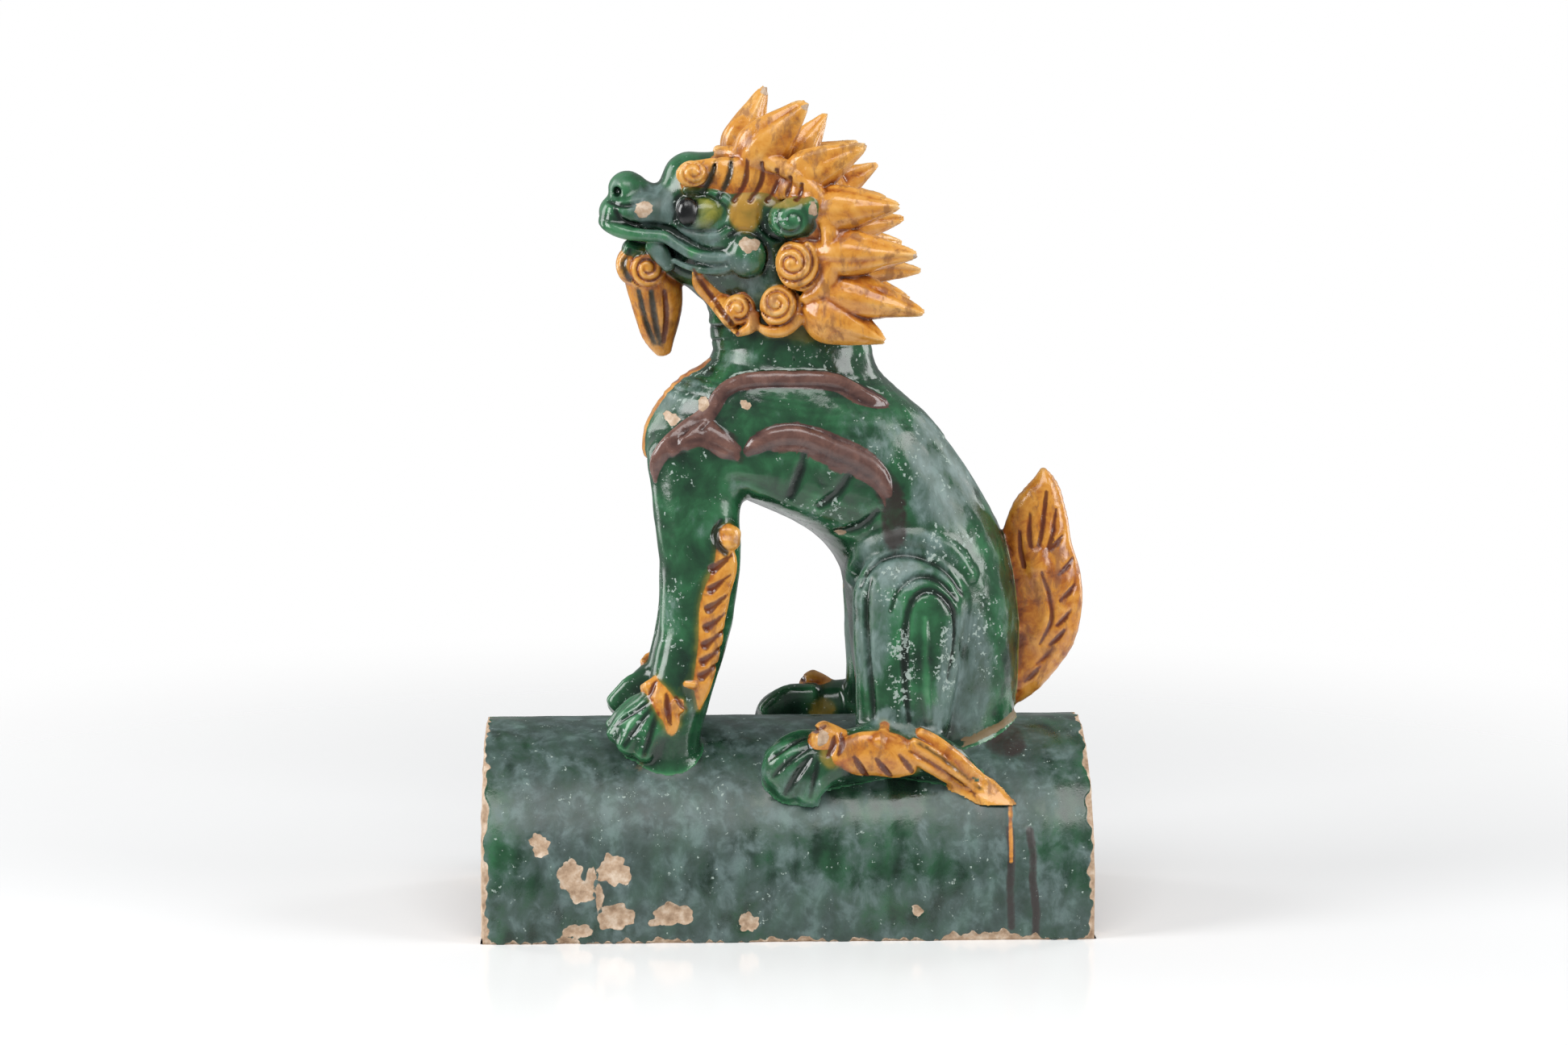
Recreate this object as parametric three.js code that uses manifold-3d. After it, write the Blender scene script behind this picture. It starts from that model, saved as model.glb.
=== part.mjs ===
// A glazed ridge beast: a maned lion-dog seated on a half-round ridge tile, one fired piece.
// Millimetres, +Z up. The tile runs along X and the beast faces -X. The origin is the middle of the
// tile at the level of its two lower edges. Every form is a closed solid, and manifold-3d joins them.
import * as THREE from "three";
import { mergeVertices } from "three/addons/utils/BufferGeometryUtils.js";
import Module from "manifold-3d";

const wasm = await Module();
wasm.setup();

// ---------------------------------------------------------------- driving dimensions
const TILE_LENGTH = 262;
const TILE_WIDTH = 136;
const TILE_HEIGHT = 85;
const TILE_WALL = 16;
const TILE_RADIUS = TILE_WIDTH / 2; // of the round back
const TILE_SPRING = TILE_HEIGHT - TILE_RADIUS; // the straight part of each side
const FAR_FOOT_IN = 4.5; // how much nearer the ridge the far hind foot is set
const FAR_FOOT_UP = 4.5;
const GLAZE_GREEN = "#1f5a40";

const NEAR = -1; // the side of the beast at -Y
const FAR = 1;
const TOE = { rings: 2, sides: 6, dome: 0.8 };
const LOCK = { rings: 2, sides: 4, dome: 0.7 };

// Height of the tile's back at a distance y from its middle line.
const tileTop = (y) => TILE_SPRING + Math.sqrt(TILE_RADIUS ** 2 - y ** 2);

// ---------------------------------------------------------------- solids and helpers
// A three.js geometry as a manifold-3d solid, whichever way its faces were wound.
function solidOf(geometry) {
  const bare = geometry.index ? geometry.toNonIndexed() : geometry.clone();
  for (const name of Object.keys(bare.attributes)) {
    if (name !== "position") bare.deleteAttribute(name);
  }
  const merged = mergeVertices(bare, 1e-4);
  const corners = new Uint32Array(merged.index.array);
  const build = (triVerts) =>
    new wasm.Manifold(
      new wasm.Mesh({ numProp: 3, vertProperties: merged.attributes.position.array, triVerts }),
    );
  const solid = build(corners);
  if (solid.volume() > 0) return solid;
  for (let i = 0; i < corners.length; i += 3) {
    [corners[i + 1], corners[i + 2]] = [corners[i + 2], corners[i + 1]];
  }
  return build(corners);
}

// A limb: an oval carried along a smooth curve through the stations. A station is
// [x, y, z, half thickness in the plane of the curve, half width across the beast].
// Each end closes in a low cone, or in a rounder dome where round is asked for.
function limb(stations, { rings = 10, sides = 12, dome = 0.7, round = false } = {}) {
  const spine = new THREE.CatmullRomCurve3(
    stations.map(([x, y, z]) => new THREE.Vector3(x, y, z)), false, "catmullrom", 0.5);
  const girth = new THREE.CatmullRomCurve3(
    stations.map((s) => new THREE.Vector3(s[3], s[4], 0)), false, "catmullrom", 0.5);
  const ovals = [];
  const addOval = (t, shrink, beyond) => {
    const along = spine.getTangent(t);
    const across = new THREE.Vector3(0, 1, 0).addScaledVector(along, -along.y).normalize();
    const normal = new THREE.Vector3().crossVectors(along, across);
    const { x: thick, y: wide } = girth.getPoint(t);
    const centre = spine.getPoint(t).addScaledVector(along, beyond * dome * Math.min(thick, wide));
    ovals.push({ centre, normal, across, thick: thick * shrink, wide: wide * shrink });
  };
  if (round) addOval(0, Math.SQRT1_2, -Math.SQRT1_2);
  for (let i = 0; i <= rings; i++) addOval(i / rings, 1, 0);
  if (round) addOval(1, Math.SQRT1_2, Math.SQRT1_2);

  const points = [];
  for (const { centre, normal, across, thick, wide } of ovals) {
    for (let k = 0; k < sides; k++) {
      const turn = (2 * Math.PI * k) / sides;
      points.push(centre.clone()
        .addScaledVector(normal, thick * Math.cos(turn))
        .addScaledVector(across, wide * Math.sin(turn)));
    }
  }
  const pole = (t, beyond) => {
    const { x: thick, y: wide } = girth.getPoint(t);
    return spine.getPoint(t).addScaledVector(spine.getTangent(t), beyond * dome * Math.min(thick, wide));
  };
  const first = points.push(pole(0, -1)) - 1;
  const last = points.push(pole(1, 1)) - 1;
  const index = [];
  for (let k = 0; k < sides; k++) {
    const next = (k + 1) % sides;
    index.push(first, next, k);
    for (let r = 0; r < ovals.length - 1; r++) {
      const [a, b] = [r * sides + k, r * sides + next];
      index.push(a, b, a + sides, b, b + sides, a + sides);
    }
    index.push(last, (ovals.length - 1) * sides + k, (ovals.length - 1) * sides + next);
  }
  return solidOf(new THREE.BufferGeometry().setFromPoints(points).setIndex(index));
}

// An egg: a sphere stretched to three half sizes.
function egg([x, y, z], [rx, ry, rz], width = 14, height = 10) {
  const ball = new THREE.SphereGeometry(1, width, height).rotateX(Math.PI / 2);
  return solidOf(ball.scale(rx, ry, rz).translate(x, y, z));
}

const join = (solids) => solids.reduce((whole, solid) => whole.add(solid));
// The same stations on the beast's near (-Y) or far (+Y) side. They are written for y outwards.
const onSide = (side, stations) => stations.map(([x, y, ...rest]) => [x, side * y, ...rest]);
const bothSides = (make) => join([make(NEAR), make(FAR)]);

// ---------------------------------------------------------------- the half-round tile
function archShape(radius, spring) {
  const shape = new THREE.Shape();
  shape.moveTo(-radius, 0);
  shape.lineTo(-radius, spring);
  shape.absarc(0, spring, radius, Math.PI, 0, true);
  shape.lineTo(radius, 0);
  shape.closePath();
  return shape;
}

// The arch drawn in (y, z) and carried along x.
function archBar(radius, spring, length, steps) {
  const bar = new THREE.ExtrudeGeometry(archShape(radius, spring), {
    depth: length, bevelEnabled: false, curveSegments: steps,
  });
  return bar.rotateX(Math.PI / 2).rotateZ(Math.PI / 2).translate(-length / 2, 0, 0);
}

function tileBlock() {
  return solidOf(archBar(TILE_RADIUS, TILE_SPRING, TILE_LENGTH, 24));
}

function tileHollow() {
  return solidOf(archBar(TILE_RADIUS - TILE_WALL, TILE_SPRING, TILE_LENGTH + 20, 16)
    .translate(0, 0, -0.01));
}

// ---------------------------------------------------------------- body
// The back and flank curve down from the shoulders to the rump in one sweep.
function torso() {
  return limb([
    [-12, 0, 214, 28, 31],
    [4, 0, 212, 31, 34],
    [26, 0, 203, 35, 35],
    [43.2, 0, 186.6, 34.8, 36],
    [54.5, 0, 169.7, 34.8, 37],
    [61.5, 0, 154, 36.8, 38],
    [65.5, 0, 132, 38, 38],
    [67, 0, 106, 37, 37],
    [67, 0, 76, 34, 35],
  ], { rings: 10, sides: 14, dome: 0.4 });
}

// Neck and chest stand upright, swelling from the throat to the breast.
function neckAndChest() {
  return limb([
    [0, 0, 276, 29, 25],
    [0.5, 0, 262, 34.5, 26],
    [3.5, 0, 250, 35.5, 27],
    [3.5, 0, 240, 37.5, 29],
    [3, 0, 231, 43.5, 32],
    [1.5, 0, 221, 54.5, 35],
    [0, 0, 207, 63, 37.5],
    [-1, 0, 195, 61.5, 38],
    [-3, 0, 185, 56, 36],
    [-5, 0, 178, 32, 33],
  ], { rings: 9, sides: 14, dome: 0.02 });
}

function frontLeg(side) {
  return limb(onSide(side, [
    [-40, 22, 202, 22.5, 14],
    [-38.5, 25, 177, 20, 15],
    [-36.5, 26.5, 160, 18.5, 14.5],
    [-38, 28, 140, 16.8, 13.5],
    [-40, 29.5, 125, 15.2, 12.5],
    [-43.5, 30.5, 112, 14.5, 12],
    [-47, 31.5, 98, 13.8, 12],
    [-50, 32.5, 84, 13.5, 12.5],
    [-50.5, 33, 70, 13, 12],
  ]), { rings: 7, sides: 9, dome: 0.3 });
}

// Three toes spread from one ankle, with a knuckle over them.
function frontPaw(side) {
  return join([
    egg([-58, side * 34, 90], [9.5, 10, 13], 8, 6),
    limb(onSide(side, [[-52, 38, 92, 10, 6], [-60, 39.5, 85, 10, 6], [-66, 41, 79, 6, 5]]), TOE),
    limb(onSide(side, [[-54, 34, 93, 10, 6], [-64, 35, 87, 10, 6.5], [-71.5, 36, 80, 6, 5]]), TOE),
    limb(onSide(side, [[-54, 29, 93, 10, 6], [-63, 28, 88, 10, 6], [-70, 27, 82, 6, 5]]), TOE),
  ]);
}

function haunch(side) {
  return limb(onSide(side, [
    [52.5, 33, 159, 20, 11],
    [51.5, 35, 144, 25, 15],
    [51, 37, 125, 24, 16],
    [51, 39, 105, 22, 15],
    [49, 40, 84, 20, 14],
  ]), { rings: 4, sides: 10, dome: 0.8, round: true });
}

// The foot lies along the flank of the tile, paw forward and hock back. The far foot is set a
// little nearer the ridge, and so stands a little higher.
function hindFoot(side) {
  const foot = join([
    limb(onSide(side, [
      [84, 49, 67, 7, 8],
      [66, 49, 76, 10, 9],
      [44, 50, 79, 11, 9.5],
      [24, 51, 77, 11.5, 9.5],
      [10, 51, 73, 11, 9],
    ]), { rings: 4, sides: 8, dome: 0.6, round: true }),
    limb(onSide(side, [[12, 47, 79, 9, 6], [2, 46, 76, 9, 6.5], [-6, 46, 70, 6, 5]]), TOE),
    limb(onSide(side, [[13, 52, 76, 9, 6], [3, 52, 70, 9.5, 6.5], [-4, 52, 64, 6, 5]]), TOE),
    limb(onSide(side, [[15, 56, 70, 9, 5], [8, 57, 64, 8, 5.5], [3, 57, 58, 5, 4.5]]), TOE),
    egg([14, side * 53, 86.5], [7, 6, 7.5], 8, 6),
  ]);
  return side === FAR ? foot.translate([0, -FAR_FOOT_IN, FAR_FOOT_UP]) : foot;
}

// ---------------------------------------------------------------- head
function head() {
  return join([
    egg([-13, 0, 297], [39, 28, 36], 14, 9),
    limb([
      [-22, 0, 300, 24, 24],
      [-42, 0, 305, 19, 20],
      [-54, 0, 306, 12.5, 17],
      [-65, 0, 306, 12, 16.5],
      [-74.5, 0, 304.5, 8.5, 14],
    ], { rings: 5, sides: 12, dome: 0.5, round: true }),
    limb([
      [-20, 0, 281, 9, 17],
      [-36, 0, 281, 6.5, 15],
      [-52, 0, 286, 6.5, 13.5],
      [-68.5, 0, 290.5, 5.5, 11],
    ], { rings: 3, sides: 10, dome: 0.6, round: true }),
    egg([-68.5, 0, 316], [8.5, 10.5, 8], 8, 6),
    egg([-41, 0, 320], [12.5, 15, 13.5], 9, 6),
    egg([-22, 0, 316], [20, 20, 18.5], 10, 7),
  ]);
}

function face(side) {
  return join([
    egg([-34.5, side * 18, 305.5], [11.5, 7.5, 8.5], 9, 6),
    egg([-16, side * 24, 290], [8.5, 7.5, 8.5], 8, 6),
    egg([4.6, side * 30, 303.2], [11.3, 6.5, 7.6], 8, 6),
    limb(onSide(side, [
      [-46, 10, 321, 4.5, 5],
      [-38, 17, 321.5, 7, 6],
      [-22, 23, 320.5, 8, 6],
      [-6, 26.5, 319, 7.2, 6],
      [9, 27.5, 315.5, 3, 4],
    ]), { rings: 3, sides: 6, dome: 0.5 }),
    limb(onSide(side, [
      [-71, 10, 299, 3, 5],
      [-60, 15, 296, 3, 4],
      [-46, 17, 291.5, 3, 4],
      [-34, 18.5, 288, 3, 4],
      [-22, 20, 287.5, 2, 3.5],
    ]), { rings: 3, sides: 4, dome: 0.5 }),
  ]);
}

function beard() {
  return join([
    limb([
      [-57, 0, 283, 13, 11],
      [-55.5, 0, 272, 12, 10.5],
      [-54.3, 0, 262, 10, 9],
      [-53.3, 0, 254, 7.5, 7],
      [-52, 0, 247.5, 4, 4],
    ], { rings: 4, sides: 8, dome: 0.7 }),
    egg([-59, 6, 281.5], [6.5, 8, 6.5], 7, 5),
    egg([-59, -6, 281.5], [6.5, 8, 6.5], 7, 5),
  ]);
}

// Spiral locks under the ear and along the jaw.
function sideCurls(side) {
  return join([
    egg([6.6, side * 29, 285.8], [10.5, 8, 10.5], 9, 6),
    egg([-1.5, side * 25.5, 269.3], [9, 7.5, 9], 8, 6),
    egg([-18.9, side * 22, 265.6], [6.2, 6, 6.2], 7, 5),
    limb(onSide(side, [[1, 26, 264, 4, 4], [-6, 26, 259, 3.2, 4], [-12, 25, 256, 1.8, 3]]), LOCK),
    limb(onSide(side, [[-23, 22, 265, 3.5, 4], [-21, 24, 259, 3, 4], [-18, 25, 254, 1.6, 3]]), LOCK),
    limb(onSide(side, [[-42, 13, 277, 4, 5], [-33, 18, 267, 4, 5], [-25, 22, 255, 2.5, 4]]), LOCK),
  ]);
}

// ---------------------------------------------------------------- mane
// [tip x, y, z, root x, y, z, root width]. The middle row stands on the crown and down the nape.
const MIDDLE_SPIKES = [
  [-7.8, 0, 360, -21, 0, 331, 14],
  [18.8, 0, 347.8, 6, 0, 326, 13],
  [40.7, 0, 326.4, 19, 0, 316, 13],
  [52, 0, 303.2, 26, 0, 299, 13],
  [59.5, 0, 281, 28, 0, 282, 13],
  [59.8, 0, 263.8, 28, 0, 268, 12],
];
const SIDE_SPIKES = [
  [8.3, 22, 353, -8, 17, 325, 14],
  [33.8, 34, 335, 8, 25, 318, 14],
  [47, 42, 309.6, 14, 31, 307.5, 15],
  [54, 45, 288.7, 18, 33, 288.7, 15],
  [54.6, 43, 264.4, 10, 22, 277, 16],
  [41.3, 38, 251.5, 10, 24, 266, 17],
];

// A spike: a drop shape, fattest a third of the way up, drawn out to a blunt tip.
function spike([tx, ty, tz, rx, ry, rz, width]) {
  const at = (t) => [rx + (tx - rx) * t, ry + (ty - ry) * t, rz + (tz - rz) * t];
  const half = width * 0.58;
  return limb([
    [...at(0), half * 0.9, half * 0.8],
    [...at(0.35), half, half * 0.85],
    [...at(0.7), half * 0.62, half * 0.55],
    [...at(0.98), half * 0.16, half * 0.16],
  ], { rings: 3, sides: 5, dome: 0.8 });
}

function mane() {
  return join([
    egg([17, 0, 293], [18, 35.5, 38.5], 12, 8),
    ...MIDDLE_SPIKES.map(spike),
    ...SIDE_SPIKES.map((s) => spike(s)),
    ...SIDE_SPIKES.map(([tx, ty, tz, rx, ry, rz, w]) => spike([tx, -ty, tz, rx, -ry, rz, w])),
  ]);
}

// ---------------------------------------------------------------- tail
function tail() {
  return join([
    limb([
      [96, 0, 92, 6, 8],
      [105.5, 0, 103, 10.5, 9],
      [112, 0, 121, 17, 10],
      [113.5, 0, 140, 19, 10.5],
      [111, 0, 158, 17, 10],
      [111.3, 0, 173, 14, 8.5],
      [113.3, 0, 185, 8.7, 6.5],
      [113.2, 0, 194, 2, 3],
    ], { rings: 7, sides: 9, dome: 0.7 }),
    egg([111.4, 7, 151.3], [6, 6, 6], 7, 5),
    egg([111.4, -7, 151.3], [6, 6, 6], 7, 5),
  ]);
}

// ---------------------------------------------------------------- raised ornament laid on the skin
// A strip follows points [x, z, half width] over the side of the finished body. A ray sent in from
// the side finds how far out the skin lies there, and the strip is half sunk in it.
function stripOn(skin, side, points, height, options) {
  const ray = new THREE.Raycaster();
  const inward = new THREE.Vector3(0, -side, 0);
  const stations = points.map(([x, z, half]) => {
    ray.set(new THREE.Vector3(x, side * 200, z), inward);
    const [hit] = ray.intersectObject(skin);
    return [x, hit.point.y, z, half, height];
  });
  return limb(stations, options);
}

const UPPER_BAND = [
  [-54, 190, 3], [-49.6, 200, 3], [-40.8, 208, 3], [-33, 215, 3], [-27.6, 225, 3],
  [-19.7, 231.5, 3], [-7.4, 234, 3], [5, 234.5, 3], [18, 234, 3], [28, 230, 3], [38, 224.5, 2],
];
const LOWER_BAND = [
  [-16.2, 203.6, 2], [-7.4, 208.5, 3], [5, 210.8, 3], [13.7, 209, 3],
  [24.3, 201.8, 3], [36.6, 195.5, 3], [43.7, 190, 3], [46, 181, 2],
];
const LEG_FEATHER = [
  [-26.5, 171, 5], [-27.5, 160, 6.5], [-30, 147, 6.5], [-33, 130, 6], [-36.5, 115, 5], [-37.5, 100, 2.5],
];
const ANKLE_FLAME = [[-53, 110, 3], [-51, 102, 6], [-49, 93, 5], [-48.5, 84, 2]];
const HOCK_FLAME = [[53, 88, 5], [64, 85, 6.5], [76, 74, 6.5], [86, 64, 4.5], [94, 57, 2]];

function ornament(skin, side) {
  return join([
    stripOn(skin, side, UPPER_BAND, 2.2, { rings: 8, sides: 4 }),
    stripOn(skin, side, LOWER_BAND, 2.2, { rings: 5, sides: 4 }),
    stripOn(skin, side, LEG_FEATHER, 3.2, { rings: 4, sides: 5 }),
    stripOn(skin, side, ANKLE_FLAME, 3.2, { rings: 2, sides: 5 }),
    stripOn(skin, side, HOCK_FLAME, 3.6, { rings: 3, sides: 5 }),
  ]);
}

// ---------------------------------------------------------------- assembly
const parts = [
  torso(), neckAndChest(), head(), beard(), mane(), tail(),
  ...[NEAR, FAR].flatMap((side) => [
    frontLeg(side), frontPaw(side), haunch(side), hindFoot(side), face(side), sideCurls(side),
  ]),
];
const plain = join([tileBlock(), ...parts]);
const skin = meshOf("skin", plain, GLAZE_GREEN);
skin.updateMatrixWorld(true);
const beast = join([plain, ornament(skin, NEAR), ornament(skin, FAR)]).subtract(tileHollow());

function meshOf(name, solid, colour) {
  const { vertProperties, triVerts, numProp } = solid.getMesh();
  const count = vertProperties.length / numProp;
  const position = new Float32Array(count * 3);
  for (let i = 0; i < count; i++) {
    position.set(vertProperties.subarray(i * numProp, i * numProp + 3), i * 3);
  }
  const geometry = new THREE.BufferGeometry()
    .setAttribute("position", new THREE.BufferAttribute(position, 3))
    .setIndex(new THREE.BufferAttribute(triVerts, 1));
  geometry.computeVertexNormals();
  const material = new THREE.MeshStandardMaterial({ color: colour, roughness: 0.25, metalness: 0 });
  const mesh = new THREE.Mesh(geometry, material);
  mesh.name = name;
  return mesh;
}

const model = new THREE.Group();
model.add(meshOf("ridge_beast", beast, GLAZE_GREEN));
export default model;
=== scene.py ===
# %% [markdown]
# # A glazed ridge beast
#
# This lesson builds a Chinese ridge ornament: a maned lion-dog modelled in clay, seated on a
# half-round ridge tile, dipped in green, amber and aubergine lead glazes and fired in one piece.
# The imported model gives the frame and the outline. The looks are made here: a skin with every lock,
# groove and lip in real geometry, a tile with its chips, and a glaze that pools in the hollows.
#
# All lengths below are written in millimetres and turned to metres when a mesh is made.

import math

import bpy
import numpy as np
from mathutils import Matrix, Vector


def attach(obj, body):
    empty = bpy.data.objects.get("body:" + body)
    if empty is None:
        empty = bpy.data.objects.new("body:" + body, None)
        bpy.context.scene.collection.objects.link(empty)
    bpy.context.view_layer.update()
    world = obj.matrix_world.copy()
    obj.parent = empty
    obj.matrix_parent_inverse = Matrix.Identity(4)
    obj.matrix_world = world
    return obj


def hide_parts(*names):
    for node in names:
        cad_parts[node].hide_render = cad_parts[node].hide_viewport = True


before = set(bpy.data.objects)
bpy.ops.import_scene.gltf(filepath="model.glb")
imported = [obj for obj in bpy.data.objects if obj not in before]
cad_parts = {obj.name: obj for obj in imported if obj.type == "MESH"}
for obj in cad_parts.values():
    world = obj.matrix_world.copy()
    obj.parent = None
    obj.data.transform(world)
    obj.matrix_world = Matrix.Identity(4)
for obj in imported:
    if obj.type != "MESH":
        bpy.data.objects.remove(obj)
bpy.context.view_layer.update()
MM = 0.001

# %% [markdown]
# ## Camera, floor and light
#
# The ornament is seen square from its side, a little from above, from about a metre and a half.
# A long lens keeps the tile's ends nearly flat. Glaze only looks like glaze when it has something
# to reflect, so the light comes from large soft panels: they leave long, clean highlights.

# %% Camera
TARGET = Vector((0.27, 0.0, 171.0)) * MM
DISTANCE = 1600 * MM
AZIMUTH, ELEVATION = math.radians(-2.2), math.radians(7.2)
back = Vector((math.sin(AZIMUTH) * math.cos(ELEVATION),
               -math.cos(AZIMUTH) * math.cos(ELEVATION),
               math.sin(ELEVATION)))
camera = bpy.data.objects.new("camera", bpy.data.cameras.new("camera"))
camera.data.lens, camera.data.sensor_width = 84.1, 36.0
camera.location = TARGET + back * DISTANCE
camera.rotation_euler = back.to_track_quat("Z", "Y").to_euler()
bpy.context.scene.collection.objects.link(camera)
bpy.context.scene.camera = camera
bpy.context.scene.view_settings.view_transform = "Standard"
print("camera stands at", [round(v, 3) for v in camera.location])


# %% Colours and nodes
def linear(code):
    """Turn an sRGB hex colour to the linear red, green, blue and alpha that a shader wants.

    Each channel above 0.04045 is ((c + 0.055) / 1.055) to the power 2.4, and below it c / 12.92.
    """
    channels = [int(code[i:i + 2], 16) / 255 for i in (1, 3, 5)]
    return tuple(((c + 0.055) / 1.055) ** 2.4 if c > 0.04045 else c / 12.92 for c in channels) + (1.0,)


def add(tree, kind, inputs=None, out=0, stops=None, **settings):
    """Add one shader node and give back one of its outputs.

    inputs maps an input's name or number to a socket, a hex colour or a plain value. stops are the
    places and colours (or grey levels) of a colour ramp. settings are the node's own properties.
    """
    node = tree.nodes.new("ShaderNode" + kind)
    for name, value in settings.items():
        setattr(node, name, value)
    for name, value in (inputs or {}).items():
        if isinstance(value, bpy.types.NodeSocket):
            tree.links.new(value, node.inputs[name])
        else:
            node.inputs[name].default_value = linear(value) if isinstance(value, str) else value
    for number, (place, level) in enumerate(stops or ()):
        marks = node.color_ramp.elements
        mark = marks[number] if number < len(marks) else marks.new(place)
        mark.position = place
        mark.color = linear(level) if isinstance(level, str) else (level, level, level, 1)
    return node.outputs[out]


def new_material(name):
    """An empty node material, ready for a shader."""
    material = bpy.data.materials.new(name)
    material.use_nodes = True
    material.node_tree.nodes.clear()
    return material, material.node_tree


# %% Floor, light and sky
def soft_panel(name, place, aim, width, height, power):
    """A rectangular area light that looks from place towards aim."""
    data = bpy.data.lights.new(name, "AREA")
    data.shape, data.size, data.size_y, data.energy = "RECTANGLE", width, height, power
    lamp = bpy.data.objects.new(name, data)
    lamp.location = Vector(place)
    lamp.rotation_euler = (Vector(place) - Vector(aim)).to_track_quat("Z", "Y").to_euler()
    bpy.context.scene.collection.objects.link(lamp)
    return lamp


soft_panel("left_panel", (-1.7, -0.55, 0.9), (0, 0, 0.18), 0.8, 1.2, 27)
soft_panel("right_panel", (1.7, -0.65, 0.8), (0, 0, 0.16), 0.8, 1.2, 20)
soft_panel("overhead_panel", (0, -1.2, 1.8), (0, 0, 0.12), 1.8, 0.9, 23)
soft_panel("left_edge_panel", (-1.3, 0.7, 0.5), (0, 0, 0.2), 0.5, 1.2, 7)
soft_panel("right_edge_panel", (1.3, 0.8, 0.5), (0, 0, 0.2), 0.5, 1.2, 7)

# The wall behind is lit to pure white on its own, as in a studio, while the room stays dim: the
# camera sees white, and the glaze mirrors the panels rather than a bright sky.
sky = bpy.data.worlds.new("pale_studio")
sky.use_nodes = True
tree = sky.node_tree
tree.nodes.clear()
seen = add(tree, "LightPath", out="Is Camera Ray")
room = add(tree, "Background", {"Color": "#f4f6f8", "Strength": 0.36})
wall = add(tree, "Background", {"Color": "#ffffff", "Strength": 1.0})
add_world = tree.nodes.new("ShaderNodeOutputWorld")
tree.links.new(add(tree, "MixShader", {0: seen, 1: room, 2: wall}), add_world.inputs["Surface"])
bpy.context.scene.world = sky

# The floor is a glossy white sheet that fades out into the white wall.
FLOOR_REACH = 1.3
turns = np.linspace(0, 2 * np.pi, 97)[:-1]
rim = [(FLOOR_REACH * math.cos(t), FLOOR_REACH * math.sin(t), 0) for t in turns]
floor_mesh = bpy.data.meshes.new("floor")
floor_mesh.from_pydata(rim, [], [tuple(range(len(rim)))])
floor = bpy.data.objects.new("floor", floor_mesh)
bpy.context.scene.collection.objects.link(floor)
floor_material, tree = new_material("white_acrylic_sheet")
from_middle = add(tree, "VectorMath", {0: add(tree, "TexCoord", out="Object")}, out="Value", operation="LENGTH")
fade = add(tree, "MapRange", {"Value": from_middle, "From Min": 0.28, "From Max": 0.8},
           interpolation_type="SMOOTHSTEP")
sheet = add(tree, "BsdfPrincipled", {"Base Color": "#fbfbfb", "Roughness": 0.14})
clear = add(tree, "BsdfTransparent")
surface = add(tree, "MixShader", {0: fade, 1: sheet, 2: clear})
tree.links.new(surface, tree.nodes.new("ShaderNodeOutputMaterial").inputs["Surface"])
floor_mesh.materials.append(floor_material)

# %% [markdown]
# ## How the figure is shaped
#
# The real figure was built up in soft clay: limbs rolled and pressed on, locks laid over them, and
# grooves cut with a stick. A surface over two parameters can't branch into legs, spikes and lips,
# so the skin is worked as a potter works: every lump is a distance field, a number that says how
# far a point is from the lump's surface. Lumps are run together with a rounded seam, and tools cut
# into them. The skin is then drawn where the distance is nought.
#
# The shapes of the lumps are still simple profiles carried along paths.

# %% The block of clay
VOXEL = 0.75
LOW = np.array([-86.0, -66.0, 56.0])
HIGH = np.array([137.0, 66.0, 364.0])
COUNT = np.ceil((HIGH - LOW) / VOXEL).astype(int) + 1
AXES = [LOW[i] + VOXEL * np.arange(COUNT[i]) for i in range(3)]
FAR_AWAY = 40.0
clay = np.full(COUNT, FAR_AWAY, np.float32)
forms = []
NEAR, FAR = -1, 1
TILE_LENGTH, TILE_WIDTH, TILE_HEIGHT, TILE_WALL = 262.0, 136.0, 85.0, 16.0
TILE_RADIUS = TILE_WIDTH / 2
TILE_SPRING = TILE_HEIGHT - TILE_RADIUS
print("block of", COUNT, "cells,", round(clay.nbytes / 1e6), "MB")


def window(low, high):
    """The slices of the block between two corners, and its three coordinate axes there."""
    first = [max(0, int((low[i] - LOW[i]) / VOXEL)) for i in range(3)]
    last = [min(COUNT[i], int((high[i] - LOW[i]) / VOXEL) + 2) for i in range(3)]
    slices = tuple(slice(a, b) for a, b in zip(first, last))
    x, y, z = (AXES[i][slices[i]].astype(np.float32) for i in range(3))
    return slices, x[:, None, None], y[None, :, None], z[None, None, :]


def soft_min(a, b, k):
    """The smaller of a and b, with their crossing rounded over a width k.

    Where they differ by less than k, (k - |a - b|) squared over 4k is taken off the smaller one.
    """
    if k <= 0:
        return np.minimum(a, b)
    h = np.maximum(k - np.abs(a - b), 0)
    return np.minimum(a, b) - h * h / (4 * k)


# %% Two kinds of lump
def spline(points, steps):
    """Catmull-Rom curve through points: each span is the cubic that leaves and arrives with half
    the step between the neighbours. steps points are given for each span."""
    p = np.asarray(points, float)
    p = np.vstack([2 * p[0] - p[1], p, 2 * p[-1] - p[-2]])
    t = np.linspace(0, 1, steps, endpoint=False)[:, None]
    spans = [0.5 * (2 * b + (c - a) * t + (2 * a - 5 * b + 4 * c - d) * t ** 2
                    + (3 * b - a - 3 * c + d) * t ** 3)
             for a, b, c, d in zip(p, p[1:], p[2:], p[3:])]
    return np.vstack(spans + [p[-2:-1]])


def oval_distance(n, w, l, thick, wide, long):
    """Distance to an ellipsoid by its gradient: k(k - 1) / g, with k the length of the scaled
    vector and g the length of the vector scaled twice."""
    k = np.sqrt((n / thick) ** 2 + (w / wide) ** 2 + (l / long) ** 2)
    g = np.sqrt((n / thick ** 2) ** 2 + (w / wide ** 2) ** 2 + (l / long ** 2) ** 2)
    return k * (k - 1) / np.maximum(g, 1e-6)


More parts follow.
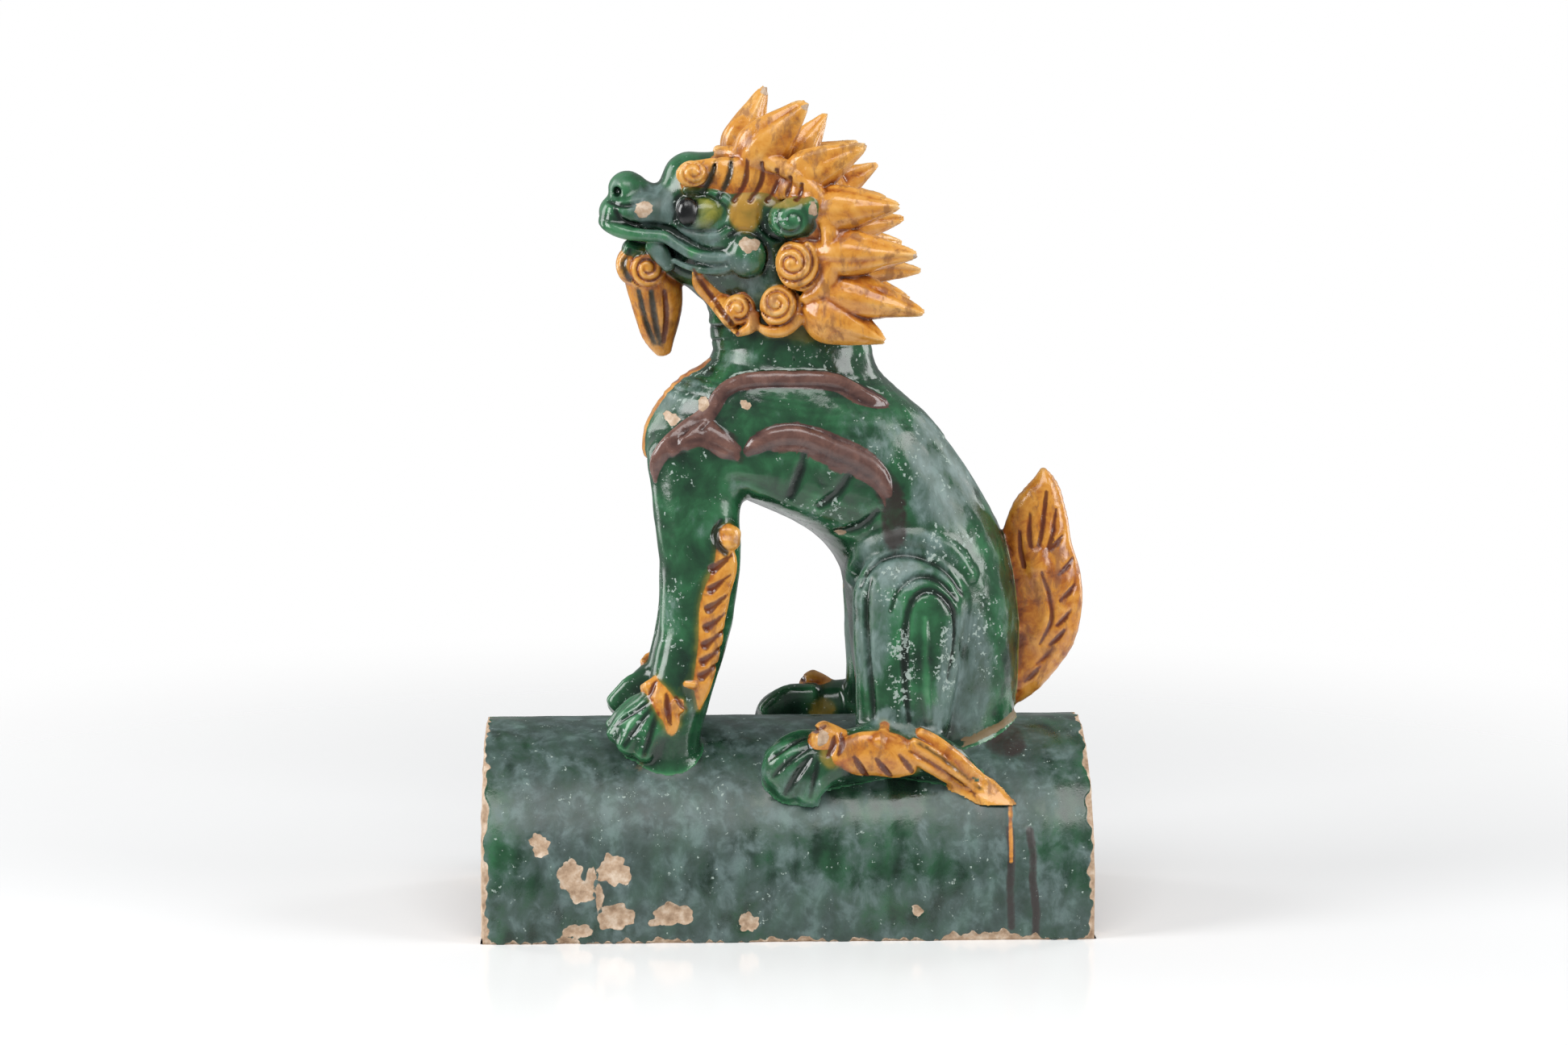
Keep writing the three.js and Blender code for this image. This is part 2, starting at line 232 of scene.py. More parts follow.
class Limb:
    """An oval carried along a curve. A station is [x, y, z, half thickness, half width across].

    ribs are cuts that run lengthwise: each is (how many, turn, depth, sharpness), and the cut is
    depth times a cosine round the oval, raised to the sharpness so that it is narrow.
    """

    def __init__(self, stations, steps=4, dome=0.7, ribs=()):
        s = np.array([[*p[:4], p[4] if len(p) > 4 else p[3]] for p in stations], float)
        self.path = spline(s, steps) if len(s) > 2 else np.linspace(s[0], s[1], 4)
        self.path[:, 3:] = np.maximum(self.path[:, 3:], 0.3)
        self.dome, self.ribs = dome, ribs
        reach = self.path[:, 3:].max() + 1
        self.low = self.path[:, :3].min(0) - reach
        self.high = self.path[:, :3].max(0) + reach

    def segment(self, a, b, x, y, z):
        """Distance to one straight length: the nearest point on it, then the oval round it."""
        run = b[:3] - a[:3]
        length2 = max(float(run @ run), 1e-6)
        qx, qy, qz = x - a[0], y - a[1], z - a[2]
        t = np.clip((qx * run[0] + qy * run[1] + qz * run[2]) / length2, 0, 1)
        qx, qy, qz = qx - t * run[0], qy - t * run[1], qz - t * run[2]
        along = run / math.sqrt(length2)
        across = np.array([0.0, 1.0, 0.0]) - along * along[1]
        across /= max(np.linalg.norm(across), 1e-6)
        normal = np.cross(along, across)
        n = qx * normal[0] + qy * normal[1] + qz * normal[2]
        w = qx * across[0] + qy * across[1] + qz * across[2]
        l = qx * along[0] + qy * along[1] + qz * along[2]
        thick = a[3] + t * (b[3] - a[3])
        wide = a[4] + t * (b[4] - a[4])
        out = oval_distance(n, w, l, thick, wide, np.minimum(thick, wide) * self.dome)
        for count, turn, depth, sharpness in self.ribs:
            round_it = np.arctan2(n / thick, w / wide)
            out = out + depth * (0.5 + 0.5 * np.cos(count * round_it + turn)) ** sharpness
        return out

    def distance(self, x, y, z):
        """The smallest distance to any length, each worked out only round itself."""
        shape = np.broadcast_shapes(x.shape, y.shape, z.shape)
        out = np.full(shape, FAR_AWAY, np.float32)
        grid = len(shape) == 3
        for a, b in zip(self.path, self.path[1:]):
            reach = max(a[3:].max(), b[3:].max()) + 9
            low, high = np.minimum(a[:3], b[:3]) - reach, np.maximum(a[:3], b[:3]) + reach
            if grid:
                cut = tuple(slice(*np.searchsorted(axis.ravel(), (lo, hi)))
                            for axis, lo, hi in zip((x, y, z), low, high))
                if any(s.stop <= s.start for s in cut):
                    continue
                d = self.segment(a, b, x[cut[0]], y[:, cut[1]], z[:, :, cut[2]])
            else:
                cut = ((x > low[0]) & (x < high[0]) & (y > low[1]) & (y < high[1])
                       & (z > low[2]) & (z < high[2]))
                d = self.segment(a, b, x[cut], y[cut], z[cut])
            out[cut] = np.minimum(out[cut], d)
        return out


class Egg:
    """A ball stretched to three half sizes, and turned about Y by tilt degrees (+X towards +Z)."""

    def __init__(self, centre, radii, tilt=0.0):
        self.centre, self.radii = np.array(centre, float), np.array(radii, float)
        self.cos, self.sin = math.cos(math.radians(tilt)), math.sin(math.radians(tilt))
        reach = self.radii.max() + 1
        self.low, self.high = self.centre - reach, self.centre + reach

    def distance(self, x, y, z):
        qx, qy, qz = x - self.centre[0], y - self.centre[1], z - self.centre[2]
        u, v = qx * self.cos + qz * self.sin, qz * self.cos - qx * self.sin
        return oval_distance(u, qy, v, *self.radii)


class Curl(Egg):
    """An egg with a spiral groove round its eye. A point is on the groove where its distance from
    the eye, divided by the pitch, less its turn about the eye, is a whole number."""

    def __init__(self, centre, radii, eye=(0, 0), pitch=3.4, start=0.0, turn=1, depth=1.5, tilt=0.0):
        super().__init__(centre, radii, tilt)
        self.eye, self.pitch, self.start = eye, pitch, math.radians(start)
        self.turn, self.depth = turn, depth

    def distance(self, x, y, z):
        body = super().distance(x, y, z)
        qx, qz = x - self.centre[0] - self.eye[0], z - self.centre[2] - self.eye[1]
        rho = np.sqrt(qx * qx + qz * qz)
        turn = self.turn * np.arctan2(qz, qx) - self.start
        phase = (rho / self.pitch - turn / (2 * np.pi)) % 1.0
        off = np.minimum(phase, 1 - phase) * self.pitch
        u = (x - self.centre[0]) / self.radii[0]
        v = (z - self.centre[2]) / self.radii[2]
        fade = np.clip((rho - 0.9) / 1.2, 0, 1) * np.clip((0.97 - np.sqrt(u * u + v * v)) / 0.14, 0, 1)
        return body + self.depth * np.exp(-(off / 0.72) ** 2) * fade


def put(form, glaze, blend=3.0):
    """Run a form into the clay, rounding the seam over blend millimetres."""
    forms.append((glaze, form))
    margin = blend + 3
    cells, x, y, z = window(form.low - margin, form.high + margin)
    clay[cells] = soft_min(clay[cells], form.distance(x, y, z), blend)


def cut(form, blend=0.8, stain="rust"):
    """Cut a form out of the clay, leaving its edges slightly rounded. The cut holds a stain."""
    forms.append((stain, form))
    margin = blend + 2
    cells, x, y, z = window(form.low - margin, form.high + margin)
    clay[cells] = -soft_min(-clay[cells], form.distance(x, y, z), blend)


def sided(side, stations):
    """Stations written for y outwards, carried to the near (-Y) or far (+Y) side."""
    return [[p[0], side * p[1], *p[2:]] for p in stations]


def skin_y(x, z, side):
    """The y of the skin on one side at each (x, z): the outermost cell inside the clay, moved out
    to where the distance passes nought, or the tile where that lies further out."""
    i = np.clip(np.rint((np.asarray(x) - LOW[0]) / VOXEL).astype(int), 0, COUNT[0] - 1)
    k = np.clip(np.rint((np.asarray(z) - LOW[2]) / VOXEL).astype(int), 0, COUNT[2] - 1)
    rows = clay[i, :, k] if side < 0 else clay[i, ::-1, k]
    first = np.argmax(rows < 0, axis=1)
    pick = np.arange(len(first))
    outer, inner = rows[pick, np.maximum(first - 1, 0)], rows[pick, first]
    step = np.where(first > 0, outer / np.maximum(outer - inner, 1e-6), 0)
    deep = VOXEL * (np.maximum(first - 1, 0) + step)
    out = np.where(rows.min(1) < 0, (AXES[1][-1] if side > 0 else -AXES[1][0]) - deep, 0)
    on_tile = np.sqrt(np.maximum(TILE_RADIUS ** 2 - np.maximum(np.asarray(z) - TILE_SPRING, 0) ** 2, 0))
    return side * np.maximum(out, on_tile * (np.asarray(z) < TILE_HEIGHT))


def laid(points, side, radius, lift=0.0, steps=4, flat=1.0, **options):
    """A limb that follows (x, z) points over the skin. A point may carry its own radius. lift
    moves it out of the skin, and flat squashes it against the skin."""
    p = np.array([[*q[:2], q[2] if len(q) > 2 else radius] for q in points], float)
    p = spline(p, steps) if len(p) > 2 else np.linspace(p[0], p[1], 4)
    y = skin_y(p[:, 0], p[:, 1], side)
    y = np.convolve(np.pad(y, 2, mode="edge"), [0.1, 0.2, 0.4, 0.2, 0.1], "valid") + side * lift
    stations = np.column_stack([p[:, 0], y, p[:, 1], p[:, 2], p[:, 2] * flat])
    return Limb(stations, steps=1, **options)


def groove(points, side, radius=1.1, lift=0.2, stain="rust", blend=0.8, **options):
    """Cut a rounded groove along (x, z) points of the skin."""
    cut(laid(points, side, radius, lift, **options), blend, stain)


def offset(points, dx, dz, scale=1.0):
    """The same (x, z, radius) points moved, with their radii scaled."""
    return [[p[0] + dx, p[1] + dz, *(r * scale for r in p[2:])] for p in points]


# %% [markdown]
# ## Trunk, legs and paws
#
# The trunk is one sweep from the shoulders down the back to the rump, and the chest another that
# stands upright and swells from the throat to the breast. The legs are pressed on at the shoulder
# and hip, so their seams are rounded over several millimetres. Each toe is a roll of its own with a
# groove beside it.

# %% Trunk and chest
put(Limb([
    [-12, 0, 214, 28, 31], [4, 0, 212, 31, 33], [26, 0, 203, 34, 34], [43.2, 0, 186.6, 34.8, 35],
    [54.5, 0, 169.7, 34.8, 36], [61.5, 0, 154, 36.3, 37], [65.5, 0, 132, 37.2, 38],
    [67, 0, 106, 36, 37], [67, 0, 84, 33.5, 35], [67, 0, 74, 31, 34]]), "green", 0)
put(Limb([
    [0, 0, 276, 28, 24], [0.5, 0, 262, 33, 25], [3.5, 0, 250, 34, 26], [3.8, 0, 240, 36.5, 28],
    [3, 0, 231, 43, 31], [1.5, 0, 221, 54, 34], [0, 0, 207, 61, 36.5], [-1, 0, 195, 59.5, 37],
    [-4, 0, 187, 50, 35]], dome=0.25), "green", 10)
print("trunk and chest in the clay")


# %% Legs
def front_leg(side):
    put(Limb(sided(side, [
        [-38, 20, 204, 21, 14], [-38, 24, 178, 18.5, 14.5], [-36.8, 26, 160, 17.5, 14],
        [-38, 27.5, 140, 16.2, 13], [-40, 29, 125, 15, 12.2], [-43.5, 30.5, 112, 14.2, 12],
        [-47, 31.5, 98, 13.6, 12], [-50, 32.5, 84, 13, 12.2], [-50.5, 33, 72, 12.5, 12]])), "green", 7)


def haunch(side):
    put(Limb(sided(side, [
        [54, 31, 155, 20, 11], [53, 34, 143, 24.5, 14.5], [52, 36, 125, 23.5, 15.5],
        [51, 38, 105, 21.5, 14.5], [49, 39.5, 84, 19.5, 13.5]]), dome=0.9), "green", 3.5)


for side in (NEAR, FAR):
    front_leg(side)
    haunch(side)
print("four legs pressed on")


# %% Paws
def front_paw(side):
    put(Egg([-58, side * 34, 90], [9.5, 10, 13.5]), "green", 4)
    put(Egg([-62.5, side * 33, 85], [11, 11, 9.5], -38), "green", 3)
    for root, tip in [
            ([-51, 39, 92], [-61.5, 42.5, 76.5]), ([-53, 37, 95], [-69, 40, 79]),
            ([-54, 33, 97], [-73.5, 35, 83]), ([-54, 29, 97], [-74, 29, 86])]:
        middle = [(a + b) / 2 + lift for a, b, lift in zip(root, tip, (-1, 0.6, 2.2))]
        put(Limb(sided(side, [[*root, 6, 5], [*middle, 6, 4.6], [*tip, 4.6, 4]])), "green", 2.2)


# The far hind foot is set a little nearer the ridge, and so stands a little higher.
FOOT_SHIFT = {NEAR: (0.0, 0.0), FAR: (-4.5, 4.5)}


def hind_foot(side):
    inward, up = FOOT_SHIFT[side]

    def at(stations):
        return sided(side, [[p[0], p[1] + inward, p[2] + up, *p[3:]] for p in stations])

    put(Limb(at([
        [80, 49, 67, 4, 5], [66, 49, 74.6, 9, 8], [46, 50, 79, 11, 9.5], [26, 51, 77, 11.5, 9.5],
        [12, 51, 74, 11, 9]])), "green", 4)
    put(Egg([1.5, side * (51.5 + inward), 72 + up], [12.6, 8.8, 12.2], 30), "green", 3)
    for root, tip in [
            ([15, 46, 82], [-6, 46, 75]), ([14, 50, 80], [-6.5, 51, 68.5]),
            ([15, 54, 76], [-1, 55, 62]), ([18, 56, 73], [8, 57, 60])]:
        middle = [(a + b) / 2 + lift for a, b, lift in zip(root, tip, (-1, 0.8, 2.0))]
        put(Limb(at([[*root, 6, 5], [*middle, 6.6, 5], [*tip, 4.6, 4]])), "green", 3)
    put(Limb(at([[25, 52, 80, 6, 6], [19, 53.5, 84, 6.6, 6], [13.6, 54.5, 86.5, 6.8, 6]])), "amber", 1.5)


for side in (NEAR, FAR):
    front_paw(side)
    hind_foot(side)
print("four paws")

# %% [markdown]
# ## Head
#
# The head is thrown up and back: a skull, a blunt muzzle with a knob of a nose, a long mouth that
# curls at the corner, and round cheeks. The lips are ridges laid over the muzzle, so they stand
# proud, and the eye is a ball set under the brow.

# %% Skull, muzzle and jaw
put(Egg([-13, 0, 297], [37, 27, 35]), "green", 6)
put(Egg([-40, 0, 319], [12.5, 16, 13.5]), "green", 8)
put(Egg([-22, 0, 314], [20, 21, 19]), "green", 6)
put(Limb([
    [-22, 0, 300, 24, 23], [-42, 0, 305, 17, 18], [-54, 0, 306.5, 11, 15.5], [-65, 0, 307, 10.5, 15],
    [-72.5, 0, 306, 8, 12.5]], dome=0.9), "green", 5)
put(Limb([
    [-20, 0, 279, 9, 17], [-36, 0, 279.5, 6.5, 15], [-52, 0, 286, 5.5, 12.5],
    [-67, 0, 290.5, 4.5, 10]]), "green", 2)
put(Egg([-67.5, 0, 316.5], [8.2, 10.5, 7.8], -15), "green", 2.5)
put(Limb([[-62, 0, 316, 5, 7], [-54, 0, 314.5, 3, 5]]), "green", 3)
print("head blocked out")

# %% Lips, cheeks, eyes and ears
UPPER_LIP = [[-77.2, 5, 302.6, 2.8], [-75.2, 9.5, 301.2, 2.9], [-69.8, 12.8, 298.6, 2.9], [-61.4, 15, 297, 2.7],
             [-52.4, 16.6, 296.6, 2.7], [-46.8, 18.2, 293.4, 2.5], [-40.7, 20.6, 289.6, 2.4],
             [-32.1, 23.2, 287.4, 2.2], [-25, 25.2, 288, 2], [-20.5, 26.4, 290, 1.4]]
LOWER_LIP = [[-47.5, 16.4, 286.4, 1.5], [-42, 18, 284, 1.7], [-36, 19.8, 282.6, 1.8], [-30, 21.6, 282.2, 1.8],
             [-24.5, 23.6, 283.2, 1.7], [-20.5, 25, 286.2, 1.4]]
EYELID = [[-47.6, 308], [-46.6, 303.4], [-42.5, 300.2], [-36, 298.6], [-29, 298.6], [-24.4, 301.4],
          [-22.8, 305.6], [-24.6, 310], [-29.6, 313.2], [-36.6, 314.6], [-43, 315], [-46.8, 312]]


def face(side):
    put(Limb(sided(side, UPPER_LIP)), "green", 2)
    put(Limb(sided(side, LOWER_LIP)), "green", 1.6)
    groove([[-73, 308.6, 0.8], [-69.4, 303.6, 1.1], [-62, 301.4, 1.2], [-53, 301.2, 1.2], [-46.4, 298.6, 1.2],
            [-40, 294.4, 1.1], [-33, 291.6, 1], [-27, 291.6, 0.7]], side, lift=0.3, stain="deep")
    put(Limb(sided(side, [[-56, 12.6, 293, 4.2], [-53, 14, 289, 4.2], [-49.6, 14.4, 283.6, 3]])), "green", 1)
    put(Egg([-16, side * 24.5, 289], [8.6, 6.7, 9.4]), "green", 1.6)
    groove([[-24, 297.4, 0.8], [-19.6, 299.7, 1.1], [-13.4, 298.6, 1.1], [-8.6, 294, 1.1], [-7.2, 287, 1.1],
            [-9.4, 280, 0.8]], side, lift=0.3, stain="deep")
    groove(EYELID + EYELID[:1], side, 1.3, 0.5, stain="deep")
    put(Egg([-35.4, side * 19.2, 306.2], [11, 6.4, 7.2], 4), "eyeball", 0.6)
    put(laid(offset(EYELID[5:11], 0.4, 1.2), side, 1.7, -0.2), "green", 0.8)
    put(laid(offset(EYELID[1:6], 0.3, -1.4), side, 1.5, -0.2), "green", 0.8)
    put(Egg([-41.8, side * 23, 307.6], [4.9, 4, 6]), "pupil", 0.3)
    cut(Egg([-71.8, side * 8.6, 315.6], [2.1, 3.4, 2.2]), 0.8, "deep")
    groove([[-75.8, 311.4, 0.6], [-70.6, 309.8, 1.1], [-64.6, 310.2, 1.1], [-60, 312.6, 0.6]], side, lift=0.2,
           stain="deep")
    put(Egg([3, side * 31.6, 305], [11.2, 6, 8.8], 8), "green", 1.4)
    put(Egg([10.6, side * 33.4, 309.2], [4.4, 4.6, 5], 0), "green", 2)
    put(Curl([1.6, side * 34.4, 304.4], [8.2, 4.4, 7], eye=(0.6, 0), pitch=4.6, start=60, turn=-1, depth=1.2),
        "green", 1)


for side in (NEAR, FAR):
    face(side)
print("two faces")

# %% [markdown]
# ## Mane, brow, curls and beard
#
# All the amber hair was rolled separately and pressed on. The mane is a thick collar round the back
# of the head that carries two rows of drop-shaped spikes a side and one down the middle. Brow,
# curls and beard lie over the face, and every lock is opened with a stick into grooves, where the
# brown of the glaze will gather.

# %% Collar and spikes
MIDDLE_SPIKES = [
    [-7.8, 0, 360, -20, 0, 333, 8], [18.4, 0, 348.4, 4, 0, 328, 8], [40.4, 0, 326.6, 20, 0, 316, 7.5],
    [51.8, 0, 303.4, 26, 0, 299, 7.5], [59.2, 0, 281, 28, 0, 283, 7.5], [59.6, 0, 264.2, 28, 0, 268, 7.5]]
SIDE_SPIKES = [
    [8.6, 22, 353, -12, 17, 331, 10.8], [33.4, 33, 335.4, 7, 25, 322.5, 9.4], [46.8, 41, 310.4, 17.5, 31, 308, 9.4],
    [54, 44, 290, 20.5, 33, 290, 9.6], [57.4, 42, 265.4, 22, 31, 274, 9.4], [41, 38, 253.4, 15, 28, 264.6, 10.6]]
RING = [[-28, 10, 331.8, 3.2], [-20, 16, 331.6, 3.6], [-8, 23, 329, 3.8], [2, 27.5, 324.6, 3.8],
        [9.6, 31, 319, 3.8], [15.6, 33.6, 310.4, 3.8], [18.4, 35, 301, 4], [19.2, 35.4, 291, 4.2],
        [19, 35, 282, 4.2], [15, 33, 274.6, 3.8], [8.6, 30.6, 270, 2.4]]
rng = np.random.default_rng(41)


def spike(tip, root, half):
    """A drop: widest just past the root, drawn out to a blunt tip, and opened lengthwise with a
    stick, so its round is broken into a few uneven facets."""
    tip, root = np.array(tip, float), np.array(root, float)
    plan = [(-0.08, 0.8, 0.62), (0.1, 1.0, 0.76), (0.28, 0.93, 0.74), (0.5, 0.73, 0.62), (0.7, 0.52, 0.46),
            (0.87, 0.34, 0.32), (0.975, 0.2, 0.2)]
    turns = rng.uniform(0, 6.28, 3)
    return Limb([[*(root + (tip - root) * t), half * 1.16 * a, half * 1.16 * b] for t, a, b in plan], dome=0.9,
                ribs=[(3, turns[0], 0.8, 1), (5, turns[1], 0.6, 3), (7, turns[2], 0.3, 4)])


put(Egg([15, 0, 293.5], [17, 34, 36.5]), "amber", 3)
put(Limb([
    [-24, 0, 327, 5, 16], [-10, 0, 325, 6, 22], [4, 0, 319, 7, 27], [14, 0, 308, 7, 31],
    [18.5, 0, 293, 7, 33], [16.5, 0, 278, 6, 32], [10, 0, 268, 5, 27]]), "amber", 2)
for s in MIDDLE_SPIKES:
    put(spike(s[:3], s[3:6], s[6]), "amber", 1.2)
for side in (NEAR, FAR):
    for s in SIDE_SPIKES:
        tip, root = [s[0], side * s[1], s[2]], [s[3], side * s[4], s[5]]
        put(spike(tip, root, s[6]), "amber", 0.9)
    put(Limb(sided(side, [[*p, p[3] * 0.9] for p in RING])), "amber", 0.6)
print(len(MIDDLE_SPIKES) + 2 * len(SIDE_SPIKES), "spikes")

# %% Brow, curls and jaw
BROW = [[-43.5, 321, 5.4], [-39, 321.6, 7.2], [-33, 321.8, 7.9], [-24, 321.8, 8.6], [-12, 320.4, 8.2],
        [-2, 318.8, 6.6], [5, 316.8, 4.2], [10.5, 314, 2]]
BROW_STROKES = [
    ([[-28.6, 330.6], [-31.8, 322], [-35.6, 314.6]], "ink"), ([[-22.8, 330.2], [-24.1, 322], [-28.6, 313.4]], "ink"),
    ([[-16.4, 329.4], [-17.0, 320.3], [-22, 312.0]], "rust"), ([[-10.0, 328.2], [-10.0, 320.3], [-15.2, 312.0]], "rust"),
    ([[-3.8, 325.4], [-4.0, 318.6], [-7.8, 312.0]], "rust"), ([[1.9, 322.2], [1.0, 316.9], [-1.8, 311.8]], "rust"),
    ([[6.6, 319.6], [6.2, 316], [4, 312.6]], "rust")]
JAW_STRIP = [[-41.6, 280, 2], [-39, 275.4, 4.4], [-34, 270.4, 5], [-29.6, 264.4, 4.4], [-26.4, 258.4, 3],
             [-24.6, 254.6, 1.4]]


def hair_of_face(side):
    put(laid(BROW, side, 8, -0.4, flat=0.42, dome=0.5), "amber", 0.8)
    put(Curl([-40, side * 21.6, 323.4], [6.6, 4.4, 5.6], eye=(1, 1), pitch=2.9, start=20, depth=1.1), "amber", 1)
    put(Curl([6.2, side * 31.5, 285.4], [11, 8, 11.4], eye=(-4.2, 1), pitch=3.6, start=200), "amber", 1)
    put(Limb(sided(side, [[14.4, 32.5, 292, 4, 4], [15.6, 32.5, 283, 4.2, 4], [11.5, 31, 274.4, 3.4, 3],
                          [7, 30, 270.6, 1.6, 2]])), "amber", 0.7)
    put(Curl([-2, side * 27.4, 267.2], [9.2, 7, 9.8], eye=(-2.4, 2), pitch=3.6, start=160, turn=-1), "amber", 1)
    put(Limb(sided(side, [[5.6, 28, 263, 3.4, 3.6], [0, 27.6, 257.4, 3, 3.4],
                          [-7, 26.4, 256.6, 2.6, 3], [-12.6, 25, 259, 1.4, 2]])), "amber", 0.8)
    put(Curl([-20, side * 23.4, 265.6], [6.8, 5.6, 6.6], eye=(-0.6, 0.8), pitch=3.1, start=100), "amber", 1)
    put(Limb(sided(side, [[-14, 25, 263.4, 3, 3], [-14.6, 25.4, 258.6, 2.8, 2.8],
                          [-20.6, 24.6, 255.4, 1.4, 2]])), "amber", 0.8)
    put(laid(offset(JAW_STRIP, 3.4, 1.6), side, 4, -0.2, flat=0.62), "amber", 0.7)
    for stroke, stain in BROW_STROKES:
        groove([[*p, r] for p, r in zip(stroke, (0.7, 1.0, 1.0))], side, lift=0.3, stain=stain)
    for i in range(5):
        x, z = -37.8 + 3.5 * i, 278.6 - 4.7 * i
        groove([[x - 1.6, z + 4, 0.5], [x + 0.6, z, 0.9], [x + 3.4, z - 4.2, 0.6]], side, lift=0.35)
    groove([[-10.6, 311, 0.8], [-11, 304, 1.2], [-8, 298.4, 1.2], [-2, 295.8, 1.1], [6, 295.4, 1.1],
            [13.6, 296.4, 0.8]], side, lift=0.3, stain="deep")


for side in (NEAR, FAR):
    hair_of_face(side)
print("brow, curls and jaw hair laid on")

# %% Beard
put(Limb([
    [-57.5, 0, 281, 12, 10], [-55.3, 0, 271, 11.6, 10], [-54.6, 0, 262, 10, 8.6],
    [-54, 0, 254, 7.6, 6.6], [-52.2, 0, 246.6, 3.6, 3.4]]), "amber", 1.5)
for side in (NEAR, FAR):
    put(Egg([-66.8, side * 4.6, 283.2], [5.6, 5.6, 7.6], 12), "amber", 1)
    put(Curl([-59.4, side * 7.6, 282.2], [8.6, 6, 8.8], eye=(0.8, 0.6), pitch=3.3, start=40), "amber", 0.8)
    groove([[-66.4, 290.6, 0.7], [-69.4, 284, 1.1], [-66.4, 277.4, 0.8]], side, lift=0.3, stain="ink")
    for stain, line in (("ink", (-62.6, -60.4, -55.8)), ("ink", (-57.4, -55.8, -53.6)), ("rust", (-51.6, -50.6, -52.2))):
        groove([[line[0], 273, 0.8], [line[1], 261, 1.15], [line[2], 249.6, 0.7]], side, lift=0.25, stain=stain)
print("beard")

# %% [markdown]
# ## Tail, feathers, flames and bands
#
# The tail is a flat leaf of amber with cut veins. Feathers run down the back of each leg, flames lie
# over the ankle and the hock, and a rolled band of aubergine waves over the shoulder and flank.
# These were laid on the finished body, so here they find the skin by looking in from the side.

# %% Tail
put(Limb([
    [96, 0, 92, 5, 7], [105, 0, 103, 10, 8.5], [112, 0, 121, 16.4, 9.5], [113.3, 0, 140, 18.2, 10],
    [111, 0, 158, 16, 9.5], [111.6, 0, 173, 13.2, 8], [114, 0, 185, 7.6, 6], [113.6, 0, 193.5, 1.8, 2.6]]),
    "amber", 2)
for side in (NEAR, FAR):
    put(laid([[110.2, 158, 4.2], [110.6, 152.6, 5.4], [111.2, 147, 4], [113.6, 139, 3.6], [114.4, 129, 3.2],
              [110.5, 120.5, 2.6], [105, 115.6, 1.2]], side, 3, -1.8, flat=0.7), "amber", 1.4)
    for vein in ([[114.6, 185], [113, 172], [111.4, 161.5]], [[119, 177], [117.8, 168], [115.4, 160]],
                 [[107.3, 176], [106.8, 167], [107.6, 161]], [[102.6, 168], [103, 160], [104.6, 152]]):
        groove([[*p, r] for p, r in zip(vein, (0.6, 1.05, 0.9))], side, lift=0.35)
    groove([[112.2, 150, 0.6], [115.8, 140, 1], [117.2, 129, 1], [112, 118, 0.6]], side, lift=0.3)
    for x, z in ((122.6, 166), (127, 155.5), (127.8, 144), (126.4, 133), (123, 124), (118, 116), (112.5, 108)):
        groove([[x, z, 0.6], [x - 3, z - 3.6, 1.2], [x - 7, z - 7, 0.7]], side, lift=0.35)
print("tail")

# %% Bands over the shoulder and flank
UPPER_BAND = [[-55.4, 192.5, 1.2], [-54.6, 200, 3.2], [-50.4, 207.4, 3.8], [-43, 213.4, 4], [-36.4, 217.6, 4.2],
              [-31, 223.6, 3.6], [-27.6, 229, 3.4], [-21.7, 233.4, 3.3], [-12, 235.6, 3.4], [1.6, 235.8, 3.3],
              [15.4, 235.6, 3.3], [24, 233.4, 3.1], [32, 228.9, 2.9], [38.5, 226, 2.2], [42, 225, 1.2]]
BRANCH = [[-34.6, 217.6, 3.2], [-30.4, 213, 3], [-25.6, 209, 2.8], [-20.5, 206.2, 2]]
LOWER_EDGE = [[-49, 205, 2], [-42, 209.4, 2.4], [-34.6, 209.6, 2.2], [-27, 206.6, 2], [-20.6, 203.4, 1.4]]
LOWER_BAND = [[-17, 205.4, 1.8], [-12.6, 208.6, 3.4], [-5, 212, 3.9], [3, 213, 4], [11.3, 211, 4],
              [20.9, 206.6, 4], [29, 203.2, 4], [36.4, 198.6, 3.9], [41.6, 192.6, 3.2], [43.4, 186.5, 1.8]]
FEATHER = [[-27.4, 167, 3.6], [-26.6, 158, 5.2], [-29.4, 148, 5.8], [-31.6, 138, 5.6], [-32.6, 127, 5.2],
           [-34.6, 116, 5], [-36.6, 107, 4.6], [-37.4, 100, 2.8], [-37.8, 95.6, 1.2]]
ANKLE_FLAME = [[-57, 107.4, 4.2], [-53.8, 102, 5.2], [-50.8, 96, 5], [-49.6, 89.6, 3.4], [-49.6, 83.5, 1.2]]
HOCK_STRANDS = [
    [[56, 87, 2.4], [62.4, 83, 3], [72, 75.6, 3], [83, 65.8, 2.5], [94.4, 55.2, 1.2]],
    [[52.4, 83.4, 2.4], [60, 78.6, 3.2], [70, 71.4, 3.1], [81, 62.8, 2.4], [93.4, 54.4, 1.0]],
    [[52.6, 77.6, 1.6], [60, 73.4, 2.6], [69.4, 67.2, 2.5], [79, 60.4, 2], [89.4, 55, 0.9]]]
FOOT_BAND = [[20, 78, 6], [28, 79, 8.6], [37, 79.4, 9.4], [46, 77.6, 9], [53, 76.4, 7]]
KNEE_RIDGE = [[28.5, 148, 1.8], [30.5, 156, 2.4], [36, 163.5, 2.8], [47, 168.3, 3], [60, 167.4, 3],
              [72, 161.6, 2.6], [79, 152, 1.6]]


